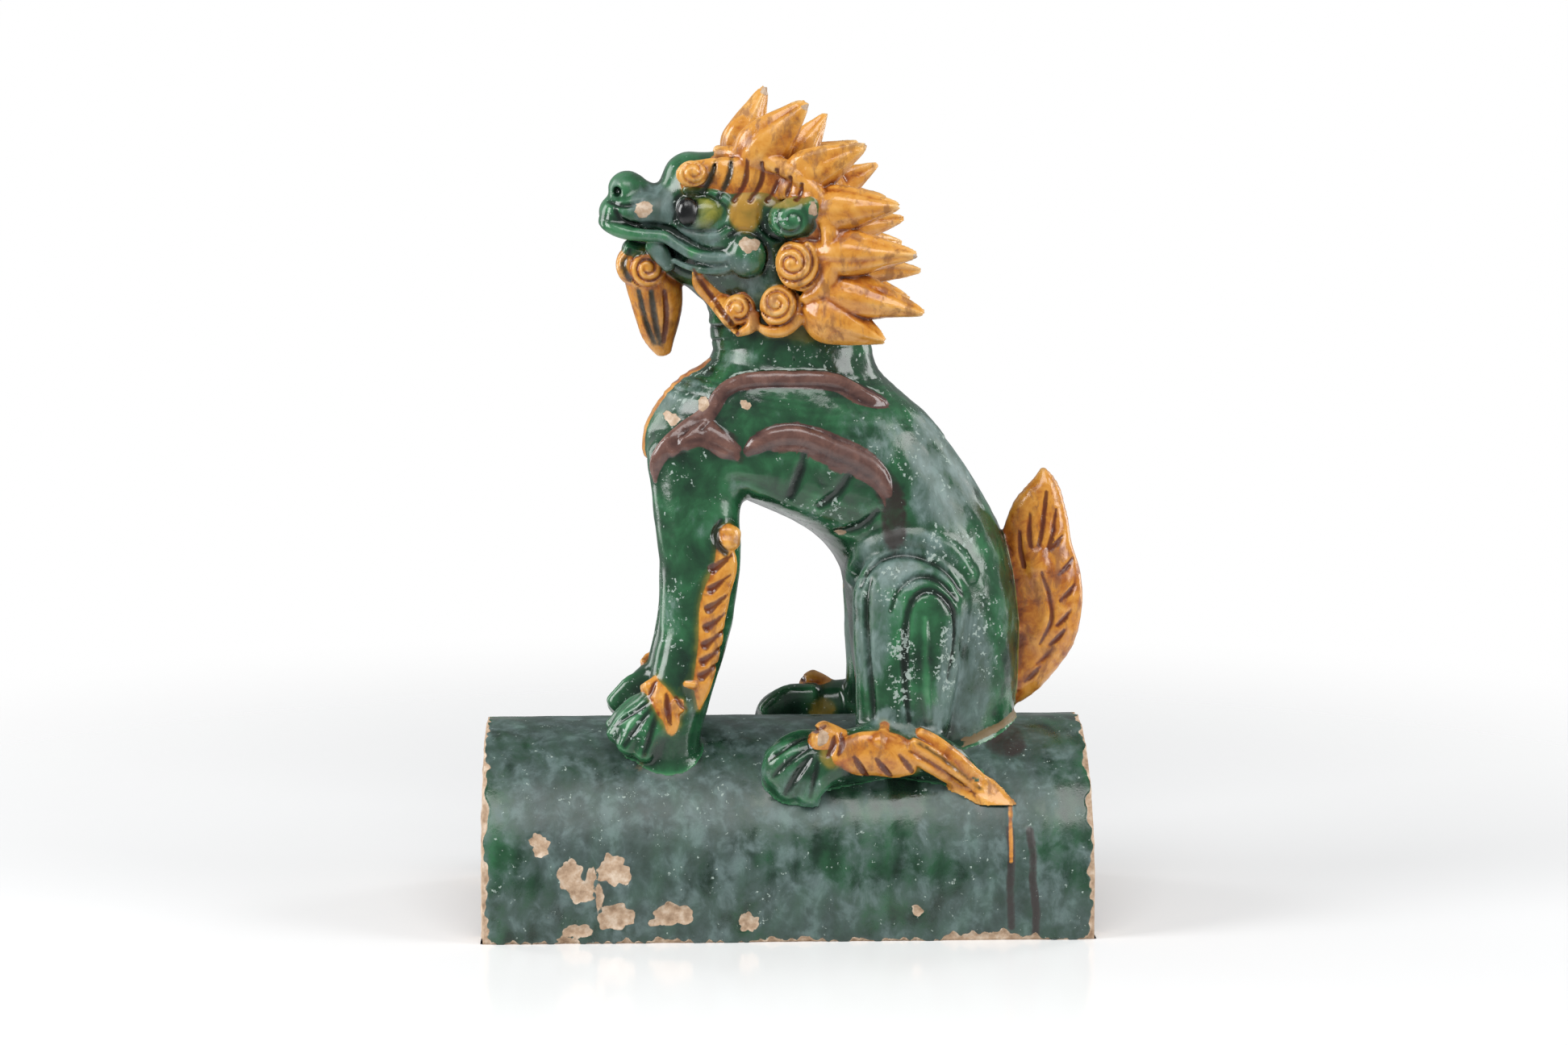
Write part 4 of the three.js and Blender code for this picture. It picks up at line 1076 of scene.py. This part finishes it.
def glaze_material(name, run, film):
    """The glaze of one piece. run stretches its fine streaks along X, Y and Z, and film is the
    bloom's three colours, from dark to light.

    LUMPS are noises by the size of their lumps in mm: a noise has about two lumps to its unit, so
    the scale is 500 over the size. The three numbers are detail, roughness and distortion.
    """
    material, tree = new_material(name)
    place = add(tree, "TexCoord", out="Object")
    mask = {which: add(tree, "Attribute", out="Fac", attribute_name=which) for which in MASKS}
    lump = {size: add(tree, "TexNoise", {"Vector": place, "Scale": 500 / size, "Detail": detail,
                                         "Roughness": rough, "Distortion": twist})
            for size, (detail, rough, twist) in LUMPS.items()}
    hung = add(tree, "Mapping", {"Vector": place, "Scale": run})
    streak = add(tree, "TexNoise", {"Vector": hung, "Scale": 160, "Detail": 6, "Roughness": 0.62, "Distortion": 0.3})

    # Green: nearly black where it pooled, brighter where it is thin.
    depth = add(tree, "Math", {0: lump[9], 1: 0.55}, operation="MULTIPLY")
    depth = add(tree, "Math", {0: mask["thin"], 1: 0.45, 2: depth}, operation="MULTIPLY_ADD")
    green = add(tree, "ValToRGB", {"Fac": depth}, stops=[
        (0.28, "#0b1912"), (0.40, "#142f20"), (0.5, "#204a2f"), (0.60, "#316a44"), (0.76, "#559062")])

    # A grey bloom clouds it, least where the glaze is thick.
    cloud = add(tree, "Math", {0: lump[26], 1: 0.7, 2: lump[9]}, operation="MULTIPLY_ADD")
    cloud = add(tree, "Math", {0: mask["bloom"], 1: 0.42, 2: cloud}, operation="MULTIPLY_ADD")
    cloud = add(tree, "Math", {0: mask["thin"], 1: 0.4, 2: cloud}, operation="MULTIPLY_ADD")
    cloud = add(tree, "Math", {0: streak, 1: 0.6, 2: cloud}, operation="MULTIPLY_ADD")
    bloom = add(tree, "MapRange", {"Value": cloud, "From Min": 1.42, "From Max": 1.78, "To Max": 0.85},
                interpolation_type="SMOOTHSTEP")
    film = add(tree, "ValToRGB", {"Fac": streak}, stops=list(zip((0.35, 0.5, 0.65), film)))
    colour = add(tree, "Mix", {0: bloom, 6: green, 7: film}, out=2, data_type="RGBA")

    # Dark brown painted shade below the bands, in the fold between them and on the tile beside the rump; on the tile
    # the same mask also stains the drips. Pale freckles show where the bloom has flaked.
    painted_shade_and_drip_stain = add(tree, "Math", {0: lump[4], 1: 0.9, 2: mask["painted_shade_and_drip_stain"]}, operation="MULTIPLY_ADD")
    painted_shade_and_drip_stain = add(tree, "MapRange", {"Value": painted_shade_and_drip_stain, "From Min": 0.95, "From Max": 1.4, "To Max": 0.9})
    colour = add(tree, "Mix", {0: painted_shade_and_drip_stain, 6: colour, 7: "#2b211f"}, out=2, data_type="RGBA")
    freckle = add(tree, "Math", {0: lump[4], 1: 0.7, 2: lump[0.9]}, operation="MULTIPLY_ADD")
    freckle = add(tree, "Math", {0: mask["freckle"], 1: 0.16, 2: freckle}, operation="MULTIPLY_ADD")
    freckle = add(tree, "MapRange", {"Value": freckle, "From Min": 1.06, "From Max": 1.1})
    worn = add(tree, "Math", {0: lump[2], 1: 0.8, 2: mask["worn"]}, operation="MULTIPLY_ADD")
    worn = add(tree, "MapRange", {"Value": worn, "From Min": 1.2, "From Max": 1.36})
    pale = add(tree, "Math", {0: freckle, 1: worn}, operation="MAXIMUM")
    pale = add(tree, "Math", {0: pale, 1: 0.75}, operation="MULTIPLY")
    colour = add(tree, "Mix", {0: pale, 6: colour, 7: "#a3b2aa"}, out=2, data_type="RGBA")

    # Amber: honey on the ridges, burnt brown in the cuts, yellow-green where it ran into the green.
    yellow = add(tree, "Math", {0: lump[9], 1: 0.8, 2: mask["yellow"]}, operation="MULTIPLY_ADD")
    yellow = add(tree, "MapRange", {"Value": yellow, "From Min": 0.55, "From Max": 1.25, "To Max": 0.9})
    runny = add(tree, "ValToRGB", {"Fac": yellow}, stops=[(0.25, "#4b5a1e"), (0.5, "#8f7a28"), (0.75, "#b58630")])
    colour = add(tree, "Mix", {0: yellow, 6: colour, 7: runny}, out=2, data_type="RGBA")
    ragged = add(tree, "Math", {0: lump[4], 1: 0.5, 2: mask["amber"]}, operation="MULTIPLY_ADD")
    amber_here = add(tree, "MapRange", {"Value": ragged, "From Min": 0.62, "From Max": 0.86})
    depth = add(tree, "Math", {0: lump[4], 1: 0.6}, operation="MULTIPLY")
    depth = add(tree, "Math", {0: mask["thin"], 1: 0.46, 2: depth}, operation="MULTIPLY_ADD")
    amber = add(tree, "ValToRGB", {"Fac": depth}, stops=[
        (0.2, "#371609"), (0.33, "#6a3211"), (0.43, "#a05a1d"), (0.54, "#c58430"), (0.68, "#d69c4a"), (0.86, "#e2b97c")])
    colour = add(tree, "Mix", {0: amber_here, 6: colour, 7: amber}, out=2, data_type="RGBA")
    crust = add(tree, "MapRange", {"Value": streak, "From Min": 0.52, "From Max": 0.62, "To Max": 0.6})
    crust = add(tree, "Math", {0: crust, 1: amber_here}, operation="MULTIPLY")
    colour = add(tree, "Mix", {0: crust, 6: colour, 7: "#6e3a16"}, out=2, data_type="RGBA")
    rust = add(tree, "Math", {0: lump[4], 1: 0.6, 2: mask["rust"]}, operation="MULTIPLY_ADD")
    rust = add(tree, "MapRange", {"Value": rust, "From Min": 0.7, "From Max": 1.2, "To Max": 0.85})
    colour = add(tree, "Mix", {0: rust, 6: colour, 7: "#4f1d0e"}, out=2, data_type="RGBA")
    ink = add(tree, "Math", {0: mask["ink"], 1: 0.9}, operation="MULTIPLY")
    colour = add(tree, "Mix", {0: ink, 6: colour, 7: "#12231a"}, out=2, data_type="RGBA")

    # Aubergine on the bands, yellow-green on the eyeball, and black on the pupil.
    ragged = add(tree, "Math", {0: lump[4], 1: 0.3, 2: mask["brown"]}, operation="MULTIPLY_ADD")
    brown_here = add(tree, "MapRange", {"Value": ragged, "From Min": 0.5, "From Max": 0.75})
    brown = add(tree, "ValToRGB", {"Fac": depth}, stops=[
        (0.25, "#241614"), (0.42, "#3f2a27"), (0.58, "#5e423b"), (0.75, "#7c5a4f")])
    colour = add(tree, "Mix", {0: brown_here, 6: colour, 7: brown}, out=2, data_type="RGBA")
    iris = add(tree, "ValToRGB", {"Fac": depth}, stops=[(0.3, "#1d3b20"), (0.48, "#596322"), (0.66, "#96923c")])
    colour = add(tree, "Mix", {0: mask["eyeball"], 6: colour, 7: iris}, out=2, data_type="RGBA")
    colour = add(tree, "Mix", {0: mask["pupil"], 6: colour, 7: "#07090a"}, out=2, data_type="RGBA")

    # Old glue at the seat, and bare clay inside the ragged edge of each chip.
    glue = add(tree, "Math", {0: lump[2], 1: 0.9, 2: mask["glue"]}, operation="MULTIPLY_ADD")
    glue = add(tree, "MapRange", {"Value": glue, "From Min": 1.0, "From Max": 1.25, "To Max": 0.75})
    colour = add(tree, "Mix", {0: glue, 6: colour, 7: "#7c5e36"}, out=2, data_type="RGBA")
    chip = add(tree, "Math", {0: lump[2], 1: 0.36, 2: mask["chip"]}, operation="MULTIPLY_ADD")
    chip = add(tree, "MapRange", {"Value": chip, "From Min": 0.67, "From Max": 0.72})
    bare_clay = add(tree, "ValToRGB", {"Fac": lump[2]}, stops=[(0.3, "#8d735b"), (0.5, "#b2987f"), (0.7, "#cfbda9")])
    colour = add(tree, "Mix", {0: chip, 6: colour, 7: bare_clay}, out=2, data_type="RGBA")

    # The glaze is smooth. The bloom, the flaked freckles, the glue and the clay are not.
    rough = add(tree, "Math", {0: lump[2], 1: 0.2, 2: 0.06}, operation="MULTIPLY_ADD")
    rough = add(tree, "Math", {0: bloom, 1: 0.34, 2: rough}, operation="MULTIPLY_ADD")
    rough = add(tree, "Math", {0: pale, 1: 0.4, 2: rough}, operation="MULTIPLY_ADD")
    rough = add(tree, "Math", {0: glue, 1: 0.5, 2: rough}, operation="MULTIPLY_ADD")
    rough = add(tree, "Math", {0: crust, 1: 0.4, 2: rough}, operation="MULTIPLY_ADD")
    rough = add(tree, "Math", {0: chip, 1: 0.8, 2: rough}, operation="MULTIPLY_ADD", use_clamp=True)
    height = add(tree, "Math", {0: lump[2], 1: 0.3, 2: lump[9]}, operation="MULTIPLY_ADD")
    height = add(tree, "Math", {0: pale, 1: 0.08, 2: height}, operation="MULTIPLY_ADD")
    height = add(tree, "Math", {0: crust, 1: 0.3, 2: height}, operation="MULTIPLY_ADD")
    grit = add(tree, "Math", {0: chip, 1: lump[0.9]}, operation="MULTIPLY")
    height = add(tree, "Math", {0: grit, 1: 0.8, 2: height}, operation="MULTIPLY_ADD")
    bump = add(tree, "Bump", {"Height": height, "Strength": 0.35, "Distance": 0.0008})
    shader = add(tree, "BsdfPrincipled", {"Base Color": colour, "Roughness": rough, "Normal": bump, "IOR": 1.55})
    tree.links.new(shader, tree.nodes.new("ShaderNodeOutputMaterial").inputs["Surface"])
    return material


figure_glaze = glaze_material("three_colour_lead_glaze_on_earthenware", (1, 1, 0.5),
                              ("#3e4e49", "#506461", "#6b7f7d"))
tile_glaze = glaze_material("weathered_green_lead_glaze_on_earthenware", (0.7, 0.7, 0.55),
                            ("#2c3b37", "#3d4d4b", "#5d6f6e"))
print("two glaze materials,", len(figure_glaze.node_tree.nodes), "nodes each")

# %% Glaze the figure
figure = make_piece("seated_beast", skin_points, skin_faces, {}, figure_glaze)
thin_out(figure, 196000)
points = points_of(figure)
limited = np.clip(seated, -8, 8)
fine = np.clip(sample(spread(limited, max(1, round(1.1 / VOXEL))), points) / 0.5, -1, 1)
broad = np.clip(sample(spread(limited, max(2, round(3.0 / VOXEL))), points) / 2.0, -1, 1)
write_masks(figure, {**glaze_masks(points, fine, broad), "chip": bare(chipped(points, FIGURE_CHIPS))})
print("figure glazed; fine hollows", np.percentile(fine, (5, 50, 95)).round(2), "broad",
      np.percentile(broad, (5, 50, 95)).round(2))
del limited
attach(figure, "root")
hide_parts("ridge_beast")

# %% [markdown]
# ## The half-round tile
#
# The tile was thrown or moulded as half a drum: two straight sides and a round back, open at both
# ends and below. Its skin is one closed section carried along the ridge. The outside is drawn
# finely, because it has chips, drips and the fillet where the figure was luted on.

# %% Tile surface
OUTSIDE_STEPS, INSIDE_STEPS = ((250, 50))
LENGTH_STEPS = 290


def arch(radius, spring, steps):
    """(y, z) points up one side, over the round back and down the other, at even spacing."""
    total = 2 * spring + math.pi * radius
    s = np.linspace(0, total, steps)
    turn = np.clip((s - spring) / radius, 0, math.pi)
    y = -radius * np.cos(turn)
    z = np.where(s < spring, s, np.where(s > total - spring, total - s, spring + radius * np.sin(turn)))
    return np.column_stack([y, z])


outer = arch(TILE_RADIUS, TILE_SPRING, OUTSIDE_STEPS)
inner = arch(TILE_RADIUS - TILE_WALL, TILE_SPRING, INSIDE_STEPS)[::-1]
edge_far = np.linspace(outer[-1], inner[0], 9)[1:-1]
edge_near = np.linspace(inner[-1], outer[0], 9)[1:-1]
section = np.vstack([outer, edge_far, inner, edge_near])
is_outside = np.arange(len(section)) < len(outer)
stations = np.linspace(-TILE_LENGTH / 2, TILE_LENGTH / 2, LENGTH_STEPS)
tile_points = np.empty((LENGTH_STEPS, len(section), 3))
tile_points[:, :, 0] = stations[:, None]
tile_points[:, :, 1:] = section[None]

TILE_CHIPS = [
    Chip(-105.6, -63, 41.9, 4.4, 4.2, 21), Chip(-92.8, -66, 29.5, 4.8, 6.8, 22), Chip(-88.5, -67, 23, 6.6, 4.6, 23),
    Chip(-84, -67, 27.5, 2.2, 5, 28), Chip(-74.2, -66, 31.2, 6.6, 6.6, 24), Chip(-80.5, -67, 20.5, 1.8, 6, 29),
    Chip(-73.5, -68, 11.6, 8, 5.6, 25), Chip(-89.6, -68, 5.6, 5.8, 3.2, 26), Chip(-95, -68, 1.6, 3.6, 1.8, 30),
    Chip(-49, -68, 12.6, 7.4, 5.4, 27), Chip(-55.5, -68, 9.4, 4, 2, 31), Chip(-17.4, -68, 8.8, 4.4, 4, 32),
    Chip(54.4, -68, 13.2, 2.4, 2.4, 33), Chip(60, 66, 30, 8, 6, 34), Chip(-40, 68, 12, 10, 6, 35),
    Chip(20, 62, 45, 5, 4, 36), Chip(92, 67, 18, 7, 9, 37)]
DRIPS = [([[94.8, 56], [93.8, 48], [94.5, 38], [93.8, 22], [94.4, 6]], 1.7),
         ([[102.5, 46], [103.8, 36], [103.3, 26], [105, 12], [104.6, 2]], 1.5)]


def tile_shape(grid):
    """Push the plain tile about: the hand's waviness, the luting round the figure, chips sunk in,
    drips raised, and the ends and lower edges broken. Returns the new points and the masks."""
    p = grid.reshape(-1, 3).copy()
    outside = np.tile(is_outside, len(grid))
    normal = np.zeros_like(p)
    normal[:, 1] = p[:, 1]
    normal[:, 2] = np.maximum(p[:, 2] - TILE_SPRING, 0)
    normal /= np.maximum(np.linalg.norm(normal, axis=1), 1e-6)[:, None]
    x, y, z = p.T
    out = 0.45 * waves(x, y, z, 11, (90, 70, 55)) + 0.16 * waves(x, y, z, 12, (22, 16, 12))
    near_figure = sample(figure_only, p)
    near_figure = np.where(z > LOW[2] + 3, near_figure, FAR_AWAY)
    fillet = np.maximum(LUTING - np.abs(near_figure), 0) ** 2 / (4 * LUTING)
    rise = np.where((near_figure > -2) & outside, fillet, 0)
    out *= soft_step(near_figure, 2, 14)
    flake = chipped(p, TILE_CHIPS)
    drip = np.maximum.reduce([soft_step(w - along_line(p, line, NEAR), -0.6, w) for line, w in DRIPS]) * outside
    x_end = TILE_LENGTH / 2 - np.abs(x)
    ragged = 1.6 + 2.4 * waves(0 * x, y, z, 14, (23, 15, 9, 6)) + 1.2 * waves(x, y, z, 15, (7, 4.5))
    end_flake = ragged - x_end
    low_rag = 1.0 + 2.2 * waves(x, 0 * y, 0 * z, 16, (31, 19, 11, 7)) + 1.0 * waves(x, y, z, 17, (6, 4))
    low_rag += 2.0 * soft_step(np.minimum(x - 62, 112 - x), 0, 8) * (y < 0)
    low_flake = low_rag - z
    broken = np.maximum(end_flake, low_flake)
    out = out + rise + 0.7 * drip - 0.8 * soft_step(flake, 0, 0.8) - 1.1 * soft_step(broken, 0, 0.9)
    p += np.where(outside, out, 0.25 * waves(x, y, z, 13, (40, 25)))[:, None] * normal
    round_corner = soft_step(9 - x_end, 0, 9) ** 2
    p[:, 0] -= np.sign(x) * np.where(outside, 1.1 * round_corner, 0)
    p[:, 2] = np.maximum(p[:, 2], 0)
    hollow = 0.35 * waves(x, y, z, 18, (12, 8)) - 0.5 * soft_step(3.5 - np.abs(near_figure), 0, 3.5)
    seat = np.abs(p[:, 2] - 73) < 7
    glue = 0.45 * soft_step(blob(p, (-58, -41, 72), (22, 10, 8)), 0.1, 0.5) * seat
    amber = soft_step(2.0 - along_line(p, [[94.8, 57], [94.4, 48], [94.2, 34]], NEAR), 0, 1.6) * outside
    dark = np.maximum.reduce([soft_step(3.0 - np.abs(along_line(p, line, NEAR)), 0, 2.0) for line, w in DRIPS])
    bloom = (1.15 - 0.75 * soft_step(blob(p, (38, -68, 38), (66, 70, 44)), 0, 0.7)
             - 0.5 * soft_step(x, 95, 120) - 0.5 * soft_step(-x, 100, 125) + 0.25 * waves(x, y, z, 31, (70, 48, 30)))
    # the dark mask here is a stain along the drips, and painted shade on the tile beside the rump
    masks = {"thin": 0.5 + 0.5 * hollow, "chip": np.where(outside, bare(np.maximum(flake, broken)), 1.0), "amber": amber * 0.65, "painted_shade_and_drip_stain": np.maximum(dark * (z < 48), soft_patches(p, [(95, 79, 13, 8, 0.9)])) * outside,
             "glue": glue, "bloom": bloom}
    masks.update({name: 0 * x for name in MASKS if name not in masks})
    return p, masks


def ring_faces(rows, columns, first=0):
    """Four-sided faces between rows of points, each row a closed ring."""
    r, c = np.meshgrid(np.arange(rows - 1), np.arange(columns), indexing="ij")
    a, b = r * columns + c, r * columns + (c + 1) % columns
    return first + np.stack([a, a + columns, b + columns, b], -1).reshape(-1, 4)


shaped, tile_masks = tile_shape(tile_points)
faces = ring_faces(LENGTH_STEPS, len(section))


def end_face(row, backwards):
    """Close one end: the outer arch is joined to the inner one by four rings across the wall."""
    columns = len(outer)
    start = row * len(section)
    outside_ring = shaped[start:start + columns]
    inside_ring = shaped[start + len(outer) + len(edge_far):start + len(outer) + len(edge_far) + len(inner)][::-1]
    grow = np.linspace(0, 1, columns)
    old = np.linspace(0, 1, len(inner))
    inside_even = np.column_stack([np.interp(grow, old, inside_ring[:, i]) for i in range(3)])
    rows_ = [outside_ring * (1 - t) + inside_even * t for t in np.linspace(0, 1, 7)]
    pts = np.stack(rows_)
    rough = 0.5 * waves(pts[..., 0], pts[..., 1], pts[..., 2], 19 + row, (14, 9, 5))
    rough[0], rough[-1] = 0, 0
    pts[..., 0] += rough
    r, c = np.meshgrid(np.arange(6), np.arange(columns - 1), indexing="ij")
    a, b = r * columns + c, r * columns + c + 1
    quads = np.stack([a, b, b + columns, a + columns], -1).reshape(-1, 4)
    return pts.reshape(-1, 3), quads[:, ::-1] if backwards else quads


end_points, end_faces = [], []
first = len(shaped)
for row, backwards in ((0, False), (LENGTH_STEPS - 1, True)):
    pts, quads = end_face(row, backwards)
    end_points.append(pts)
    end_faces.append(quads + first)
    first += len(pts)
tile_masks = {name: np.concatenate([np.broadcast_to(v, len(shaped)),
                                    np.full(first - len(shaped), 1.0 if name == "chip" else 0.0)])
              for name, v in tile_masks.items()}
all_points = np.vstack([shaped, *end_points])
all_faces = np.vstack([faces, *end_faces])
tile = make_piece("half_round_tile", all_points, all_faces, tile_masks, tile_glaze)
weld = tile.modifiers.new("weld", "WELD")
weld.merge_threshold = 0.00002
graph = bpy.context.evaluated_depsgraph_get()
welded = bpy.data.meshes.new_from_object(tile.evaluated_get(graph))
tile.modifiers.clear()
tile.data = welded
welded.shade_smooth()
welded.calc_loop_triangles()
print("tile:", len(welded.loop_triangles), "triangles")
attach(tile, "root")
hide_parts("ridge_beast")
